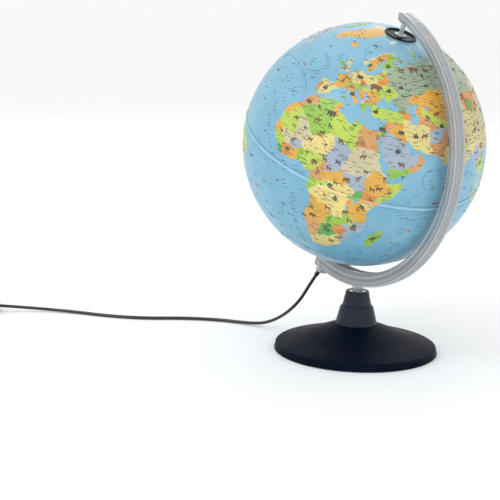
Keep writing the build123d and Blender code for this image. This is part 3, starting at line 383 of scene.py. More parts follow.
BORDERS = """
-2.2 35.4,-1.2 32.3,-3.5 31,-5.5 29.8,-8.7 28.7,-8.7 27.6;-8.7 27.6,-14 27.6
-8.7 27.6,-8.7 26,-12 26,-12 23.4,-13 23,-13.1 21.3,-17.3 21.3;-8.7 27.3,-4.8 25
-4.8 25,-6.5 24.9,-5.3 15.5,-9.3 15.5,-12.2 14.8;-4.8 25,1.2 21.2,4.2 19.1,7.5 20.8,11.9 23.5
11.9 23.5,9.9 26.5,9.4 30,9.5 30.3;9.5 30.3,11.5 32.4,11.7 33.3;9.5 30.3,7.5 33.8,8.3 35.5,8.6 37.2
11.9 23.5,14.2 22.6,15.8 23.4,23.9 19.5;25 31.9,25 22;23.9 19.5,25 20,25 22;25 22,37.4 22
14.2 22.6,15.8 20,15.5 16.9,13.5 14.2;23.9 19.5,23.9 15.7,22.3 14,22.5 12.2,23 10.7
23 10.7,20.5 9.2,15.5 7.5;15.5 7.5,15.3 10,14.2 12.4,13.5 14.2;13.5 14.2,12.3 13.2,8 13.1,4 13.5,3.6 11.8
3.6 11.8,0.9 13.2,0.3 15,3.8 15.8,4.2 19.1;3.6 11.8,2.8 9,2.7 6;14.2 12.4,13.2 9.6,11.5 6.6,8.6 4.4
-5.4 10.4,-2.8 9.8,0 11.1,2.3 12.4;-5.4 10.4,-4.3 13.2,-2 14.3,0.3 15;-2.8 9.8,-3.1 4.8
0.2 11.1,0.7 8.5,1.2 5.7;-5.4 10.4,-8 10.3;-8 10.3,-8.2 7.6,-7.5 4.2;-8.2 7.6,-10.3 8.5,-11.8 6.7
-10.3 8.5,-11.2 10,-13.5 9;-8 10.3,-9.2 12.3,-11.4 12.3;-11.4 12.3,-13.7 12.6,-17 12.4
-12.2 14.8,-14.5 16.6,-16.9 16;-11.4 12.3,-12.2 14.8;15.5 7.5,14.5 5.2,16.2 2.2,13.2 2.2,9.5 2.3
16.2 2.2,16.2 3.5,18.6 4.3,22.5 4.1,27.4 5.1;27.4 5.1,25.2 7.4,24.2 8.7,23 10.7
18.6 4.2,17.8 0.2,16.2 -2.2,15.3 -4.3,12.9 -4.9,12 -5.9;13.2 2.2,14.3 -0.5,12.6 -2,10.9 -4.1
12 -5.9,16.4 -5.9,17.2 -8,21.8 -7.3,22 -11,24 -11;24 -11,26 -11.8,29.8 -12.2,28.5 -9,30.7 -8.3
30.7 -8.3,29.2 -4.4,29 -2.8;29 -2.8,29.7 -0.5,31.3 2.2,30.9 3.5;30.9 3.5,29 4.3,27.4 5.1
11.4 -17.3,18.4 -17.4,23.4 -17.6;24 -11,24 -13,22 -13.1,22 -16.2,23.4 -17.6,25.2 -17.8
23.4 -17.6,21 -18.3,21 -22,20 -22,20 -24.8;20 -24.8,20 -28.4,16.1 -28.7
20 -24.8,20.8 -26.8,23.5 -25.4,25.8 -25.6,27.5 -23.5,29.4 -22.2;29.4 -22.2,27.5 -20.3,25.2 -17.8
25.2 -17.8,27 -17.9,28.8 -16,30.4 -15.6;29.4 -22.2,31.3 -22.4,32 -25.5,32.2 -26.8,33.4 -26.8
31.3 -22.4,32.9 -19.5,33 -16.9,30.4 -15.6;30.4 -15.6,30.3 -14.9,33 -14,33 -9.5
33 -14,34.5 -14.5,34.8 -16.8,35.3 -17,35.7 -14.6,34.9 -11.6;34.9 -11.6,37.8 -11.5,40.9 -10.5
30.7 -8.3,33 -9.5,34.9 -11.6;39.5 -4.8,37.6 -3.2,34 -1;34 -1,34 0.2,35 1.8,34.2 3.9;30.4 -1,34 -1
29 -2.8,30.4 -1;30.4 -1,30.8 -2.5,30 -4.4,29.2 -4.4;30.9 3.5,34.2 3.9;34.2 3.9,36 4.5,39.5 3.4,41.9 4
41.9 4,41 2,41 -1,41.8 -2;41.9 4,45 4.9,48 8,44 9,42.8 10.7,43.5 11.6
34.2 3.9,35 6,33.2 8.2,34.2 10.5,36.2 13.5,37 17,39 18.2;36.5 14.3,39 14.7,42.8 12.4
23 10.7,24.8 9.8,30 9.8,33.2 12.2,34.2 10.5;34.2 31.2,34.9 29.2
34.9 29.4,36.5 29.5,37.5 31.5,39.2 32.1,42 31,46.5 29.1,48.8 28.5;39.2 32.1,38.8 33.4,41.2 34.5,42.4 37.1
35.8 36,36.7 36.8,42.4 37.1,44.8 37.2;44.8 37.2,46 35.8,45.5 34,47.8 31.2,48.6 29.7
44.8 37.2,44.5 39.8,43.5 41.1,41.2 41.5;44.5 39.8,46.5 38.9,49.2 38.4;39.4 43.5,43 43,46.5 41.8,49 41.8
43.5 41.1,46.5 41.8;42.3 16.4,44.2 17.4,47.5 17.1,52 19,53.2 16.2;52 19,55 20,55.7 22,52.6 22.9,51.6 24.4
55.7 22,55.9 24.3,56.6 24.9;39.2 32.1,36.5 32.4,35.9 33.2,35.7 34.6;34.9 29.4,35.5 31.8,35.9 33.2
53.6 37.3,57 38.2,61.2 36.6,60.6 34,61.7 31.4,60.9 29.8,63.2 27.2,61.5 24.9
61.2 36.6,61.2 35.3,64.5 36.3,66.6 37.4,71.5 37.9,74.5 37.2
74.5 37.2,71.5 36.3,69.8 33.2,66.4 29.9,60.9 29.8
48.8 45.8,47 48.2,50.8 51.6,55 50.8,61.5 53.9,71 54.2,76.5 54.2,80 51,87.3 49.2
87.3 49.2,82.5 45.4,80.2 42.2;52.2 42.2,56 41.3,56 45.2,61 43.8,66 42,68 41,71 42.6,80.2 42.2
56 41.3,60 42.2,66.6 37.4;68 41,70.5 40.3,73.8 39.6;80.2 42.2,73.8 39.6,74.5 37.2
67.6 23.8,71 24.4,70 27.8,74 30.5,75 32.5,78 35.4,74.5 37.2
78 35.4,79 31.5,81.2 30.1,88 27.9,92 27.7,97.3 28.2;81.2 30.1,80.2 29,84 27.4,88.1 26.5,88 27.9
88.9 21.4,88.7 24.3,89 26.2,92 25.1,92 23,92.6 20.9;92 23,93.3 24,97.3 28.2
98.3 10.2,99 13.5,97.8 18.5,100.1 20.3,101.2 21.3;97.3 28.2,98.6 25.5,100.1 21.7,101.2 21.3
100.1 20.3,101.2 19.3,104.8 17.5,105.6 14.5,107.5 14.8;101.2 21.3,104 20.4,107.5 14.8,107.6 12.4,104.3 10.2
105.6 14.5,102.5 13.6,102.6 11.7;101.2 21.3,105.4 23.2,108.3 21.3;100.1 6.9,102.2 6
87.3 49.2,97 49.8,98.5 52,107 49.8,116.7 49.8;116.7 49.8,119.8 46.8,111.9 43.8,105 41.6,96 42.8,87.3 49.2
116.7 49.8,120.5 53,126 52.5,130.8 47.8,134.7 48.2,131 44.8,130.9 42;124 39.8,128 41.8,131 42.5
125 37.9,128.8 38.5;-9.2 41.9,-6.5 41.7,-7.2 38.5,-7.4 36.9;-2 43.7,0.6 42.7,3.5 42.4
7.6 43.5,7 45.8,6.2 46.4,7.6 47.6,8.2 49,6.2 49.5,2.2 51.3;7 45.8,9.2 46.2,10.4 46.7,9.6 47.6,7.6 47.6
10.4 46.7,13.7 46.5;9.6 47.6,13 47.7,13.8 48.8;13.8 48.8,12.2 50.3,14.8 51,18.8 49.6,16.9 48.7,13.8 48.8
14.8 51,14.2 54.2;6.2 49.5,6 51.2,7.1 53.7;3 51.3,6 51.2;8 54.9,10.1 54.8
16.9 48.7,16.2 46.9,13.7 46.5,13.4 45.3;16.9 48,22.2 48.4,22.6 49.1;18.8 49.6,22.6 49.1
22.6 49.1,24 50.7,23.6 52.2,23.6 54,19.3 54.6;23.8 51.4,31 52,34 52.2,40 49.6,38 46.8
22.2 48.4,24.9 47.7,28.2 45.5,30 45.3;22.2 48.4,20.3 46.1,18.8 45.9,16.2 46.9;20.3 46.1,22.5 44.2,28.8 43.7
22.5 44.2,22.4 42.3,23 41.4,26.4 41.8,28.4 42;19.4 39.7,21 40.8,23 41.4;21 40.8,20.5 42,22.4 42.3
20.5 42,18.9 41.9;18.8 45.9,19 44.9,16 45.1,18.6 42.2;13.4 45.3,15.6 45.8,16.2 46.9
19 44.9,19.5 43.3,18.6 42.2;26.4 41.8,26.1 40.5;11 59,12.5 61.5,12.2 63.5,15 66.3,20.5 69.1
24.2 65.3,23.5 67.9,20.5 69.1;20.5 69.1,25.8 69.8,28.5 69.5,31 70;28.5 69.5,29.5 66.5,31.4 62.9,27.9 60.1
27.9 59.7,27.5 57.5,31 55.2,31 52;31 55.2,27.8 56,25.8 54,23.6 54;24 57.9,27.5 57.5;20.8 56.2,27.8 56
-123.9 49,-95 49,-89 48.2,-84 46.4,-82.5 43,-79 43.3,-75 45,-70.5 45.6,-67 44.4
-141 70.5,-141 60.2,-130 55.1;-117.5 32.6,-111 31.4,-106.5 31.8,-101.5 29.8,-96.9 25.9
-92.3 14.1,-91 17.3,-88 18;-89.2 15.8,-89.5 14.2,-87.4 12.6;-83.8 10.9,-85.9 11;-77.4 9,-78 7.1
-71.2 12.2,-72.5 8.5,-67.5 6.2,-67 1.2;-67 1.2,-64 2,-60.8 5.2,-59.8 8.8;-60.8 5.2,-58 1.6,-54 2.2,-51.4 4.2
-67 1.2,-70 -4.2,-75.3 -0.1,-77.5 0.4,-79.2 1.8;-75.3 -0.1,-78.3 -4,-80.6 -3.3
-70 -4.2,-73.8 -7.3,-70.6 -10.9,-69.5 -11,-69 -15.5,-69.5 -17.6,-70.8 -18.4
-69.5 -11,-65.3 -10,-60.2 -14,-58 -19.8;-58 -19.8,-62 -20,-62.6 -22.2,-67 -22.9,-69.5 -17.6
-62.6 -22.2,-57.8 -25.2,-54.6 -25.6,-54.3 -24,-58 -22.2,-58 -19.8
-67 -22.9,-68.5 -27,-70 -33,-71.5 -40,-72 -50,-68.2 -52.5;-57.6 -30.2,-53.2 -33.8
-54.6 -25.6,-57.6 -30.2,-58.6 -34.2
"""
# Each colour's countries, by a point inside each
FILLS = {
    "tan": "-6 32.5,29 26.5,12 5,57 21,15.5 -25,59 39,66 28,39 35.5,-75 5,101 15,17.5 42.9,25.5 42.8",
    "amber": """-14 24.5,-15 14.5,10 34.5,21 6.5,39 9,18 -12,35 -6.5,43.5 33.5,67 48,2.5 47,16 63,-40 75,
    -18.5 65,12.5 42.5,-62 -35,-102 24,133 -25,110 16,-65 8,140 -5,121 16,25 46,9.2 9.2,-1 7.5""",
    "orange": "38 1,29.5 -19,-5 7.5,47 40.5,27 53.5,-8 39.7,105 46.5,-75 -10,30.2 -2.4,17 49.4",
    "lime": """-10 20,17 28,46 4,8 9,14.5 1.5,33 39,62 41.5,32 49,-10.5 10.5,-55 -8,102 3.5,114 0.5,41 15,
    25 58.6,19.5 47,-91 16,24 55.5,83.5 28.3""",
    "green": """2 28,11 1.3,26 -13.5,48 15.5,26 63,-8 53,46.7 -19,-65 -17,96 21,138 37,11 -1.5,13 47.3,
    22 39.5,-84 13,8 47,1.7 8.5,143 43.5,35.2 30.8,102 -1""",
    "leaf": "32.5 1.5,24 -22,25.5 -29.5,-9.5 6.5,43 42,10.5 53.2",
    "yellow": """9 17,23 -3,23 2.5,23 -31,53 33,-4 40,-100 40,78 22,9.5 50.5,127.3 36,-58 -23,21 53,
    5.5 52.3,108 -7.2,174 -38,122 -1""",
    "lavender": """18 15,30 7.5,45 24,65 33.5,38 -13.8,-72 -32,90 24.3,-3 12.3,21 43.7,9.2 56,-100 60,
    105 18.5,50.5 40.3""",
    "beige": "-2 17,30 15,10 61,-2 52.5,127 40.5,-78.5 -1.5,80.8 7.8,170 -44",
    "sage": "60 60,100 62,93 57,-150 65,142.8 50,57 72,99 80",
    "khaki": "102 35,121 24",
    "cream": "0 -75,20 79,-45 -81",
}


# Building the map


def outline(text):
    return [tuple(float(n) for n in pair.split()) for pair in text.replace("\n", " ").split(",")]


def rough_line(points, closed, wobble, longest=1.6):
    """Splits each leg of a line in two, again and again, and nudges the middles sideways."""
    legs = list(zip(points, points[1:] + points[:1] if closed else points[1:]))
    line = []
    for first, last in legs:
        run = [first, last]
        from_middle = max(abs(first[0] - MIDDLE_LON), abs(last[0] - MIDDLE_LON))
        edge = min(first[1], last[1]) < SOUTH_LAT or from_middle > 179.9
        while not edge and dist(run[0], run[1]) > longest:
            finer = [run[0]]
            for a, b in zip(run, run[1:]):
                nudge = rng.uniform(-wobble, wobble)
                east = (a[0] + b[0]) / 2 - nudge * (b[1] - a[1])
                north_by = (a[1] + b[1]) / 2 + nudge * (b[0] - a[0])
                finer += [(east, north_by), b]
            run = finer
        line += run[:-1]
    return line if closed else line + [points[-1]]


def inside(point, ring):
    """Whether a point lies in a closed outline."""
    x, y = point
    hit = False
    for (x1, y1), (x2, y2) in zip(ring, ring[1:] + ring[:1]):
        if (y1 > y) != (y2 > y) and x < (x2 - x1) * (y - y1) / (y2 - y1) + x1:
            hit = not hit
    return hit


TONES = {
    "tan": "DB9E5C", "amber": "E9AE38", "orange": "E6933A", "lime": "BFD650", "green": "98C540",
    "leaf": "5DAE48", "yellow": "EAD684", "lavender": "A9B6C6", "beige": "D9CDA0", "sage": "9FB092",
    "khaki": "D0C384", "cream": "E9E1C4",
}
SEA_TOP, SEA_LOW = linear("86BED6"), linear("6CB0CE")

coasts = {"afro_eurasia": AFRO_EURASIA, "americas": AMERICAS, **ISLANDS}
land = {name: rough_line(outline(text), True, 0.16) for name, text in coasts.items()}
lakes = {name: rough_line(outline(text), True, 0.12) for name, text in LAKES.items()}
border_legs = [outline(part) for part in BORDERS.strip().replace("\n", ";").split(";") if part.strip()]
met = [point for leg in border_legs for point in leg]


def run_on(end, before, reach=0.8):
    """Carries a border's free end on a little, so that it crosses the coast or border it stops at."""
    if met.count(end) > 1:
        return []
    step = reach / dist(end, before)
    return [(end[0] + (end[0] - before[0]) * step, end[1] + (end[1] - before[1]) * step)]


borders = [
    rough_line(run_on(leg[0], leg[1]) + leg + run_on(leg[-1], leg[-2]), False, 0.1) for leg in border_legs
]


def held(point):
    """A point moved onto the map's edge if it lies past it."""
    return (min(max(point[0], WEST), EAST), min(max(point[1], SOUTH_LAT), NORTH_LAT))


def map_triangles():
    """Cuts the whole map into triangles along its coasts and borders; returns points, faces, walls."""
    points, edges = [], []

    def add_line(line, closed):
        start = len(points)
        points.extend(Vector(held(p)) for p in line)
        count = len(line)
        edges.extend((start + i, start + (i + 1) % count) for i in range(count if closed else count - 1))

    for ring in list(land.values()) + list(lakes.values()):
        add_line(ring, True)
    for line in borders:
        add_line(line, False)
    step = 3.0
    lons = [WEST + i * step for i in range(121)]
    for lat in (SOUTH_LAT, -SEAM_LAT, SEAM_LAT, NORTH_LAT):
        add_line([(lon, lat) for lon in lons], False)
    rows = [i * step for i in range(-26, 28) if i]
    for i, lon in enumerate(lons):
        for lat in rows:
            spread = 1 if abs(lat) < 60 else 2 if abs(lat) < 72 else 4
            if i % spread == 0:
                points.append(Vector((lon, lat)))
    flat, lines, faces, _, source, _ = delaunay_2d_cdt(points, edges, [], 0, 1e-5, True)
    walls = {tuple(sorted(line)) for line, origin in zip(lines, source) if origin}
    return flat, faces, walls


def regions(faces, walls):
    """Groups the faces that join without a wall between them."""
    by_edge = {}
    for index, face in enumerate(faces):
        for a, b in zip(face, face[1:] + face[:1]):
            by_edge.setdefault(tuple(sorted((a, b))), []).append(index)
    group = [-1] * len(faces)
    count = 0
    for start in range(len(faces)):
        if group[start] >= 0:
            continue
        stack = [start]
        group[start] = count
        while stack:
            face = faces[stack.pop()]
            for a, b in zip(face, face[1:] + face[:1]):
                edge = tuple(sorted((a, b)))
                for other in () if edge in walls else by_edge[edge]:
                    if group[other] < 0:
                        group[other] = count
                        stack.append(other)
        count += 1
    return group, count


def is_land(point):
    on_land = any(inside(point, ring) for ring in land.values())
    return on_land and not any(inside(point, ring) for ring in lakes.values())


def tri_area(a, b, c):
    return abs((b[0] - a[0]) * (c[1] - a[1]) - (c[0] - a[0]) * (b[1] - a[1])) / 2


def holds(point, a, b, c):
    """Whether a point lies in a triangle."""
    whole = tri_area(a, b, c)
    parts = tri_area(point, a, b) + tri_area(point, b, c) + tri_area(point, c, a)
    return whole > 0 and parts <= whole * 1.0001


def colour_map(flat, faces, group, count):
    """One colour for each region: the sea, or the tone whose listed point lies in it."""
    largest = {}
    for index, face in enumerate(faces):
        size = tri_area(*(flat[v] for v in face))
        if size > largest.get(group[index], (0, 0))[0]:
            largest[group[index]] = (size, index)
    tone = {}
    for name, places in FILLS.items():
        for place in outline(places):
            for index, face in enumerate(faces):
                a, b, c = (flat[v] for v in face)
                if abs(a[0] - place[0]) < 9 and abs(a[1] - place[1]) < 9 and holds(place, a, b, c):
                    tone[group[index]] = name
                    break
    common = list(TONES)[:9]
    sea = {}
    for region in range(count):
        if region not in largest:
            sea[region] = True
            continue
        corners = [flat[v] for v in faces[largest[region][1]]]
        middle = (sum(c[0] for c in corners) / 3, sum(c[1] for c in corners) / 3)
        sea[region] = not is_land(middle)
        if not sea[region] and region not in tone:
            tone[region] = rng.choice(common)
    return sea, tone


def sea_colour(lat):
    """Paler towards the north."""
    share = (lat + 80) / 160
    return [low + (top - low) * share for low, top in zip(SEA_LOW, SEA_TOP)]


def hemisphere(name, flat, faces, colours, sign):
    """The printed half shell, from the map's triangles on one side of the ring."""
    mesh = bmesh.new()
    layer = mesh.faces.layers.float_color.new("print")
    verts = {}
    for face, colour in zip(faces, colours):
        off_this_side = min(flat[v][1] * sign for v in face) < SEAM_LAT - 0.01
        if off_this_side or tri_area(*(flat[v] for v in face)) < 1e-7:
            continue
        for v in face:
            if v not in verts:
                verts[v] = mesh.verts.new(on_globe(flat[v][0], flat[v][1]))
        made = mesh.faces.new([verts[v] for v in face])
        made[layer] = colour
        made.smooth = True
    bmesh.ops.remove_doubles(mesh, verts=mesh.verts, dist=2e-6)
    bmesh.ops.recalc_face_normals(mesh, faces=mesh.faces)
    data = bpy.data.meshes.new(name)
    mesh.to_mesh(data)
    mesh.free()
    data.normals_split_custom_set_from_vertices([(v.co - CENTRE).normalized() for v in data.vertices])
    obj = bpy.data.objects.new(name, data)
    bpy.context.collection.objects.link(obj)
    shell = obj.modifiers.new("shell", "SOLIDIFY")
    shell.thickness = SHELL
    shell.offset = -1
    return obj


flat, faces, walls = map_triangles()
group, count = regions(faces, walls)
sea, tone = colour_map(flat, faces, group, count)
colours = []
for index, face in enumerate(faces):
    lat = sum(flat[v][1] for v in face) / 3
    colours.append(sea_colour(lat) if sea[group[index]] else linear(TONES[tone[group[index]]]))

map_print = printed("map_print", "print")
north = hemisphere("north_map", flat, faces, colours, 1)
south = hemisphere("south_map", flat, faces, colours, -1)
for half, replaced in ((north, "north_hemisphere"), (south, "south_hemisphere")):
    half.data.materials.append(map_print)
    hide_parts(replaced)
    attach(half, "globe")


# What is printed on the map besides its colours: outlines in millimetres, inks, and places

SHAPES = {
    "bear": """-3.4 .3,-3 1.6,-1.6 2.3,.4 2,1.7 1.7,2.4 2.1,3.3 1.4,3.9 .5,2.7 0,2.4 -2,1.4 -2,1.1 -.7,
    -.9 -.7,-1.3 -2,-2.4 -2,-2.6 -.5""",
    "crown": """-.4 -3,-.5 -1.2,-2 -1.4,-3 -.2,-2.7 1.4,-1.4 2.4,0 2.8,1.6 2.3,2.8 1.2,2.9 -.4,1.9 -1.4,
    .5 -1.2,.5 -3""",
    "beast": "-3 .6,-2.6 1.4,.8 1.5,2 2.6,3.2 2.2,3 1.5,2 1,1.9 -2,1.3 -2,1 -.3,-1.6 -.3,-1.9 -2,-2.5 -2",
    "grazer": """-2.8 .5,-2.2 1.6,.6 1.4,1.9 3.4,3 3,2 .6,1.8 -2.4,1.2 -2.4,.8 -.2,-1.7 -.2,-1.9 -2.4,
    -2.5 -2.4""",
    "tall": """-1.8 .2,-1.4 1,.4 1.3,1.5 4.2,2.6 4,1.9 3.3,1.2 .4,1.1 -2.8,.6 -2.8,.3 -.2,-1 -.2,-1.2 -2.8,
    -1.7 -2.8""",
    "heavy": """-2.8 .6,-2 2,1 2.2,2.6 2.4,3.4 1,3.2 -1.6,2.8 -1.6,2.5 .1,1.8 0,1.7 -2.1,.7 -2.1,.5 -.7,
    -1.2 -.7,-1.4 -2.1,-2.4 -2.1""",
    "humped": """-3 -.2,-1.8 .8,-1 2.2,-.2 1,.7 2.3,1.5 .9,2.5 2.6,3.5 2.2,2.5 .5,1.7 -.5,1.6 -2.6,1 -2.6,
    .8 -.5,-1.5 -.5,-1.7 -2.6,-2.3 -2.6""",
    "bird": "-3 1.4,-1.2 1,0 .2,1.4 1.3,3.2 1.5,1.4 .3,.3 -1,-.4 -1",
    "whale": "-3.4 1.4,-2.6 .6,-1 .9,1.5 1,3.2 .2,2.8 -.7,.5 -1.1,-1.6 -.5,-2.8 .2,-3.6 -.5",
    "fish": "-2 .8,-1.2 .1,0 .8,1.4 .5,2.1 0,1.3 -.6,0 -.8,-1.2 -.1,-2 -.8",
    "tower": "-1.6 -3,-.5 .2,-.15 4,.15 4,.5 .2,1.6 -3,.9 -3,0 -.8,-.9 -3",
    "domes": "-2.2 -2,-2.2 .6,-1.7 1.9,-1.2 .6,-.7 .7,-.5 2,0 3.6,.5 2,.7 .7,1.2 .6,1.7 1.9,2.2 .6,2.2 -2",
    "peaks": "-3.4 -1.6,-1.6 1.2,-.7 -.2,.9 2,3.4 -1.6",
    "palm": "-.2 -2.8,-.1 .4,-2.1 .2,-.9 1.2,-2.2 2,0 1.8,2.2 2.1,.9 1.2,2.1 0,.2 .4,.4 -2.8",
    "tree": "-.3 -2.6,-.3 -.9,-2 -.8,-1.1 .5,-1.6 .7,0 3,1.6 .7,1.1 .5,2 -.8,.3 -.9,.3 -2.6",
    "arcade": "-2.6 -1.8,-2.6 1.6,2.6 1.6,2.6 -1.8,1.7 -1.8,1.3 .2,.7 -1.8,-.7 -1.8,-1.3 .2,-1.7 -1.8",
}
INK = {
    "brown": "7D5230", "dark": "463A2C", "green": "3F6B38", "red": "B4563C", "blue": "3E6E93",
    "sand": "A8763C", "leafy": "6CA344",
}
# shape, ink, size, then the places it is printed at
PRINTS = """
bear brown 1.5: 52 63.7,24 49.5
beast brown 1.1: 88 61,118 66,22 -9,17 9,31 -24,78 27,104 24,-110 57,-122 41,-60 -20
beast dark 0.9: 62 56,12 -18,36 -3,20 13,98 33,66 64,134 62,-52 -8,128 -19,41 7,27 0,8 22,25 -18,140 51
grazer brown 1.0: 18 64,40 62,78 66,105 69,14 12,28 -28,33 -12,38 6,96 49,110 43,-92 52,145 -27,74 31
grazer dark 0.8: 25 -22,15 -12,-4 13,84 47,60 41,4 17,10 26,22 4,46 -20,33 13,122 46,-70 -45,0 31
tall brown 0.9: 35 -5,24 -14,39 1,19 -3,13 6,31 9
heavy brown 1.1: 22 0,30 -8,10 9,26 7,77 13,101 17,16 -16,36 -16,80 22
humped brown 1.1: 48.2 19.5,3 26,18 22,66 43,30 19,58 33,-8 22,106 41
bird dark 0.8: -4 57,30 58,20 -31,70 52,6 61,112 52,47 28,-24 66,34 28,-8 9,120 30,15 49,43 49
palm green 1.1: 12 17.7,-12 13,50 14,5 11,46 6,115 1,-72 19,73 10,42 12,21 30,-1 20
crown leafy 2.4: 100.6 44.3
crown green 0.9: -5 8,24 -21,36 -14,47 -19,20 2
tree green 1.2: 27 62,60 61,94 57,112 61,16 0,-62 -3,12 59,128 55,24 -3,-95 47,142 37
tower brown 1.2: 2.5 47,-3 52.5
domes dark 1.0: 41 53.2,29 39.2,78 28.5,69 38,12.5 43,104 35,53 32.6,45 25,-4 40,33 50
arcade dark 1.6: 7.7 31.2
arcade dark 1.1: 11 51.5,117 38,45 33,-7 31,35 32.5
peaks sand 1.6: 27 24.5
peaks sand 1.1: 86 31,86 30,-70 -16,10 46,44 42,7 21,-113 43,84 35
whale red 0.9: 62 -12,70 3,-30 42,2 -42,88 -30,-150 30,60 -32,-20 -20,150 12
whale dark 1.0: -28 -8,75 -22,-45 30,14 -45,100 -42,-125 -5,165 35,0 71,-10 -33
fish red 0.9: 58 -5,66 10,52 -30,80 -10,85 8,63 18,72 -35,56 3,90 -18,68 -16
fish blue 1.0: -22 8,-35 18,-5 -8,0 -18,-12 -25,-32 -30,-25 52,-38 38,5 -30,-16 40,-8 -48,34 -46,3 66
bird brown 0.9: -20 30,-40 -12,-14 -14,78 -40,95 5,110 -20,-32 56,45 -40,-2 -35
"""
plates = bmesh.new()
ink_layer = plates.faces.layers.float_color.new("print")


def plate(lon, lat, shape, scale, turn, colour):
    """A printed mark as a thin closed plate on the ball: its outline is in millimetres."""
    spin = radians(turn)
    width = max(cos(radians(lat)), 0.05)
    reach = max(hypot(x, y) for x, y in shape) * scale / 1000
    rings = []
    for height in (PRINT_LIFT + reach ** 2 / (2 * GLOBE_R), -PRINT_SINK):
        ring = []
        for x, y in shape:
            east = (x * cos(spin) - y * sin(spin)) * scale / MM_PER_DEGREE / width
            north_by = (x * sin(spin) + y * cos(spin)) * scale / MM_PER_DEGREE
            ring.append(plates.verts.new(on_globe(lon + east, lat + north_by, GLOBE_R + height)))
        rings.append(ring)
    top, low = rings
    sides = [(low[i - 1], low[i], top[i], top[i - 1]) for i in range(len(top))]
    for corners in [top, low[::-1], *sides]:
        made = plates.faces.new(corners)
        made[ink_layer] = colour


for row in PRINTS.strip().split("\n"):
    head, places = row.split(":")
    kind, ink, scale = head.split()
    for lon, lat in outline(places):
        faced = 1 if rng.random() < 0.5 else -1
        shape = [(x * faced, y) for x, y in outline(SHAPES[kind])]
        size = float(scale) * rng.uniform(1.05, 1.3)
        plate(lon, lat, shape[::faced], size, rng.uniform(-6, 6), linear(INK[ink]))


def bar(half_w, half_h):
    return [(-half_w, -half_h), (half_w, -half_h), (half_w, half_h), (-half_w, half_h)]


def dashes(lon, lat, length, high, turn, colour, step=0.95):
    """A row of short strokes that reads as a line of small print from afar."""
    spin = radians(turn)
    place = -length / 2
    while place < length / 2:
        wide = rng.uniform(0.4, 0.72)
        tall = high * rng.uniform(0.7, 1.0)
        along = place / MM_PER_DEGREE
        here = (lon + along * cos(spin) / cos(radians(lat)), lat + along * sin(spin))
        plate(*here, bar(wide / 2, tall / 2), 1, turn, colour)
        place += step


NAME_INK, SEA_INK = linear("2B2622"), linear("244A66")
for tries in range(1, 5201):
    spot = (rng.uniform(WEST + 6, EAST - 6), degrees(asin(rng.uniform(-0.9, 0.96))))
    if abs(spot[1]) < 1.5:
        continue
    if is_land(spot):
        dashes(*spot, rng.uniform(2.4, 6.0), rng.uniform(0.6, 0.85), 0, NAME_INK)
    elif tries % 11 == 0:
        dashes(*spot, rng.uniform(2.5, 6.0), rng.uniform(0.5, 0.75), rng.choice([0, 0, 28]), SEA_INK)
# the Middle East, Europe and central Asia carry more names than the rest
for _ in range(330):
    spot = (rng.uniform(-8, 100), rng.uniform(13, 68))
    if is_land(spot):
        dashes(*spot, rng.uniform(2.4, 5.5), rng.uniform(0.55, 0.8), 0, NAME_INK)
# small print beside the west coasts of Africa and Europe, and in the Indian Ocean
COASTS_PRINTED = """
-24 15,-25 21,-23 27,-20 32,-17 44,-16 50,-14 57,-21 11,-17 7,-12 1.9,-5 2.2,2 3.4,-2 -6,4 -10,5 -16,6 -22,
9 -29,12 -34,-30 35,-28 47,66 -2,74 -6,60 -20,57 -12,64 14,68 18,87 15,53 -2,42 -27,38 -32
"""
for coast_lon, coast_lat in outline(COASTS_PRINTED):
    for row in range(3):
        dashes(coast_lon + row * 1.1, coast_lat - row * 1.5, rng.uniform(3.5, 6.5), 0.6, 24, SEA_INK)

# sea currents, each an arc of short strokes: its middle, half sizes, start and sweep, in degrees
CURRENTS = """
-35 30 24 10 20 150,-32 26 18 7 200 120,-18 -22 16 9 10 170,-12 -26 12 6 190 140,75 -22 20 9 0 160,
72 -8 14 4 20 140,66 14 6 5 40 200,-150 32 34 10 20 150,-155 20 36 6 200 140,-130 -22 30 10 10 160,
-120 -32 26 7 190 150,165 25 14 9 30 160,100 -28 14 7 200 130,-160 0 34 3 20 140,-28 52 16 6 30 130,
4 68 9 4 60 200,20 -48 30 5 20 130,-90 -50 26 5 20 130,120 -50 30 5 20 130,88 12 5 4 20 260
"""
for lon, lat, wide, high, start, sweep in [[float(n) for n in row.split()] for row in CURRENTS.split(",")]:
    count = int(sweep * (wide + high) / 75)
    shade = linear(rng.choice(["4E93B5", "A9D3E4", "3F7FA6"]))
    for i in range(count):
        angle = radians(start + sweep * i / count)
        here = (lon + wide * cos(angle), lat + high * sin(angle))
        run = (-wide * sin(angle) * cos(radians(lat)), high * cos(angle))
        half_long = 0.62 * radians(sweep / count) * hypot(*run) * MM_PER_DEGREE
        if not is_land(here) and abs(here[1]) > 1.4:
            plate(*here, bar(half_long, 0.22), 1, degrees(atan2(run[1], run[0])), shade)

ink_mesh = bpy.data.meshes.new("map_marks")
bmesh.ops.recalc_face_normals(plates, faces=plates.faces)
plates.to_mesh(ink_mesh)
plates.free()
marks = bpy.data.objects.new("map_marks", ink_mesh)
bpy.context.collection.objects.link(marks)
marks.data.materials.append(map_print)
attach(marks, "globe")

# The object's own pieces

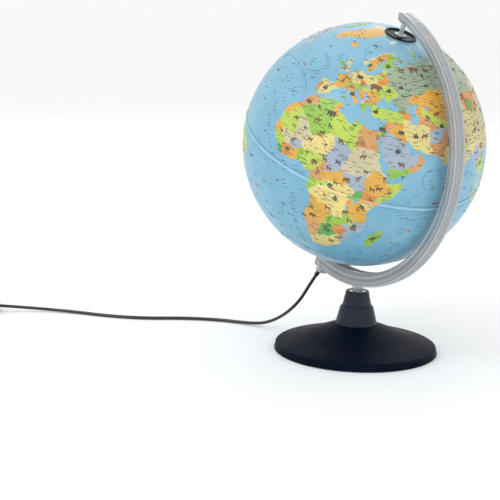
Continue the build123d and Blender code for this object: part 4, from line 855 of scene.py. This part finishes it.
clear = clear_plastic("clear_moulding")
# the arm's plastic carries painted highlights and painted shade in lines along it
clear_arm = clear_plastic("clear_arm", painted_rib_light=True)
navy = surface("navy_moulding", "091326", "050C18", 0.46, grain=1500, spread=0.1, specular=0.04)
greyed_navy = surface("collar_moulding", "2C323F", "1F2531", 0.4, grain=1500, spread=0.1, specular=0.2)
black = surface("black_gloss", "0D0E10", "050506", 0.3, coat=0.08, grain=800, depth=0.00001, specular=0.05)
black_satin = surface("black_satin", "1B1C1F", "0C0D0F", 0.32, coat=0.1, grain=1200)
rubber = surface("pad_rubber", "2A2A2B", "161617", 0.8, grain=700, depth=0.00006)
holder = surface("holder_moulding", "E6E3D9", "CFCABD", 0.42, grain=1100)
steel = surface("zinc_steel", "C9CACC", "9EA0A3", 0.32, metal=1.0, grain=1300, depth=0.00004, tone=120)
brass = surface("brass", "D9B765", "B08C3E", 0.28, metal=1.0, grain=1300, tone=120)
lamp_metal = surface("lamp_aluminium", "D6D7D8", "B1B3B5", 0.25, metal=1.0)
lamp_white = surface("lamp_white", "F1F0EC", "DEDCD6", 0.35, depth=0.00002)
glass_black = surface("insulator_black", "141417", "09090A", 0.2, coat=0.5, depth=0.00001)
opal = surface("lamp_opal", "FBFAF6", "ECEAE3", 0.3, grain=500, depth=0.00002)
milky = opal.node_tree.nodes["Principled BSDF"].inputs
milky["Subsurface Weight"].default_value = 0.3
milky["Subsurface Radius"].default_value = (0.004, 0.004, 0.004)
nickel = surface("nickel_pin", "D4D2CC", "B4B1A9", 0.18, metal=1.0, grain=1400, tone=150)
ring_print = banded("ring_print", [
    (9.4, "98C540"), (14.3, "EAD684"), (28.5, "5DAE48"), (34, "DB9E5C"), (42.6, "7CB8D4"), (98.8, "98C540"),
    (104, "7CB8D4"), (109, "BFD650"), (118.5, "7CB8D4"), (-80.3, "A9B6C6"), (-75, "BFD650"),
    (-67, "98C540"), (-50, "7CB8D4"),
])
FINISH = {
    clear_arm: "meridian_arm",
    clear: "pole_pin stand_post",
    navy: "base_foot",
    greyed_navy: "base_collar base_neck",
    black: "north_cap south_collar",
    black_satin: """switch_case_lower switch_case_upper switch_rocker plug_body plug_sleeves coil_tie
        cord_grip""",
    rubber: "foot_pads",
    holder: "lamp_holder socket_insert",
    steel: "post_screw post_washer holder_nut switch_screws",
    brass: "socket_shell socket_contact switch_terminals bulb_contact",
    lamp_metal: "bulb_cap",
    lamp_white: "bulb_body",
    glass_black: "bulb_insulator",
    opal: "bulb_dome",
    nickel: "plug_pins",
    ring_print: "equator_ring",
}
for mat, names in FINISH.items():
    for name in names.split():
        node[name].data.materials.clear()
        node[name].data.materials.append(mat)

# The cord: one length from the strain relief to the switch, one from the switch to the plug

jacket = surface("cord_jacket", "17181A", "0B0C0D", 0.2, coat=0.5, grain=700, depth=0.00004)


def cord_curve(name, points):
    data = bpy.data.curves.new(name, "CURVE")
    data.dimensions = "3D"
    spline = data.splines.new("NURBS")
    spline.points.add(len(points) - 1)
    for target, point in zip(spline.points, points):
        target.co = (*point, 1)
    spline.order_u = 3
    spline.use_endpoint_u = True
    spline.resolution_u = 10
    data.bevel_depth = CORD_D / 2
    data.bevel_resolution = 5
    data.use_fill_caps = True
    obj = bpy.data.objects.new(name, data)
    bpy.context.collection.objects.link(obj)
    obj.data.materials.append(jacket)
    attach(obj, "stand")
    return obj


LEAD = [
    (-0.0805, -0.0054, 0.0819), (-0.0885, -0.0097, 0.0674), (-0.1003, -0.0160, 0.0440),
    (-0.1195, -0.0262, 0.0216), (-0.1420, -0.0382, 0.0070), (-0.1650, -0.0505, 0.0024),
    (-0.2035, -0.0765, 0.0023), (-0.2365, -0.1165, 0.0022), (-0.2605, -0.1630, 0.0022),
    (-0.2970, -0.2015, 0.0022), (-0.3385, -0.2315, 0.0024), (-0.3745, -0.2685, 0.0036),
    (-0.3980, -0.3180, 0.0085),
]
TAIL = [
    (-0.4252, -0.3737, 0.0085), (-0.4330, -0.3915, 0.0055), (-0.4300, -0.4125, 0.0030),
    (-0.4125, -0.4265, 0.0025), (-0.3860, -0.4290, 0.0029),
]
COIL_AT = (-0.352, -0.397)
COIL_START = 260
TURN_POINTS = 16
OUTER_R = 0.0295
CORD_STEP = 0.0045
TURN_RISE, LAST_TURN_RISE = 0.00446, 0.0044
# in turns from the coil's start: one column, the moves in to the next column, and the way out over the top
COLUMN = 1.95
FIRST_SHIFT = (1.95, 2.25)
SECOND_SHIFT = (4.20, 4.50)
LIFT_OUT = (6.45, 6.90)
SWING_OUT = (6.62, 7.07)


def eased(turns, start, end):
    """From 0 at the start to 1 at the end, smoothly."""
    share = min(max((turns - start) / (end - start), 0), 1)
    return share * share * (3 - 2 * share)


def coil_point(turns):
    """Up the outer column, down the middle one, up the inner one, then out over the top."""
    out = OUTER_R - CORD_STEP * (eased(turns, *FIRST_SHIFT) + eased(turns, *SECOND_SHIFT))
    out += 0.0058 * eased(turns, *SWING_OUT)
    rise = min(turns, COLUMN) * TURN_RISE - min(max(turns - FIRST_SHIFT[1], 0), COLUMN) * TURN_RISE
    rise += min(max(turns - SECOND_SHIFT[1], 0), COLUMN) * LAST_TURN_RISE
    rise += 0.0048 * eased(turns, *LIFT_OUT)
    angle = radians(COIL_START) + turns * 2 * pi
    return (COIL_AT[0] + out * cos(angle), COIL_AT[1] + out * sin(angle), 0.0031 + rise)


coil = [coil_point(i / TURN_POINTS) for i in range(1, 7 * TURN_POINTS + 2)]
END = [
    (-0.3420, -0.4215, 0.0166), (-0.3340, -0.4178, 0.0135), (-0.3240, -0.4147, 0.0082),
    (-0.3140, -0.4140, 0.0070),
]
lead = cord_curve("cord_to_switch", LEAD)
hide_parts("cord_lead")
tail = cord_curve("cord_to_plug", TAIL + coil + END)
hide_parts("cord_tail", "cord_coil", "cord_end")

# Studio: a pale floor and three soft lights

floor_mat = surface("studio_floor", "FFFFFF", "FBFBFB", 0.9, grain=60, depth=0.0001, tone=2)
bpy.ops.mesh.primitive_plane_add(size=60, location=(0, 0, -0.0002))
floor = bpy.context.object
floor.name = "studio_floor"
floor.data.materials.append(floor_mat)


def aim(obj, target):
    obj.rotation_euler = (Vector(target) - obj.location).to_track_quat("-Z", "Y").to_euler()


def soft_light(name, place, size, power):
    data = bpy.data.lights.new(name, "AREA")
    data.shape = "DISK"
    data.size = size
    data.energy = power
    obj = bpy.data.objects.new(name, data)
    bpy.context.collection.objects.link(obj)
    obj.location = place
    aim(obj, (0, 0, 0.2))


soft_light("key", (0.2, -2.2, 2.4), 1.6, 16)
soft_light("fill", (2.6, 0.6, 1.4), 2.0, 6)
soft_light("back", (-1.6, 1.8, 2.2), 1.8, 8)

world = bpy.data.worlds.new("studio")
world.use_nodes = True
world.node_tree.nodes["Background"].inputs["Color"].default_value = (1, 1, 1, 1)
world.node_tree.nodes["Background"].inputs["Strength"].default_value = 0.95
bpy.context.scene.world = world
bpy.context.scene.view_settings.view_transform = "Standard"

# Camera

CAM_AT = Vector((1.1523, -0.9542, 0.4224))
CAM_TURN, CAM_RISE, CAM_ROLL = (radians(a) for a in (-34.341, 11.240, 1.373))
lens = bpy.data.cameras.new("camera")
lens.lens = 86.51
lens.sensor_width = 36
lens.clip_start = 0.01
camera = bpy.data.objects.new("camera", lens)
bpy.context.collection.objects.link(camera)
level = cos(CAM_RISE)
back = Vector((level * cos(CAM_TURN), level * sin(CAM_TURN), sin(CAM_RISE)))
level_right = Vector((0, 0, 1)).cross(back).normalized()
right = level_right * cos(CAM_ROLL) + back.cross(level_right) * sin(CAM_ROLL)
turned = Matrix((right, back.cross(right), back)).transposed().to_4x4()
camera.matrix_world = Matrix.Translation(CAM_AT) @ turned
bpy.context.scene.camera = camera
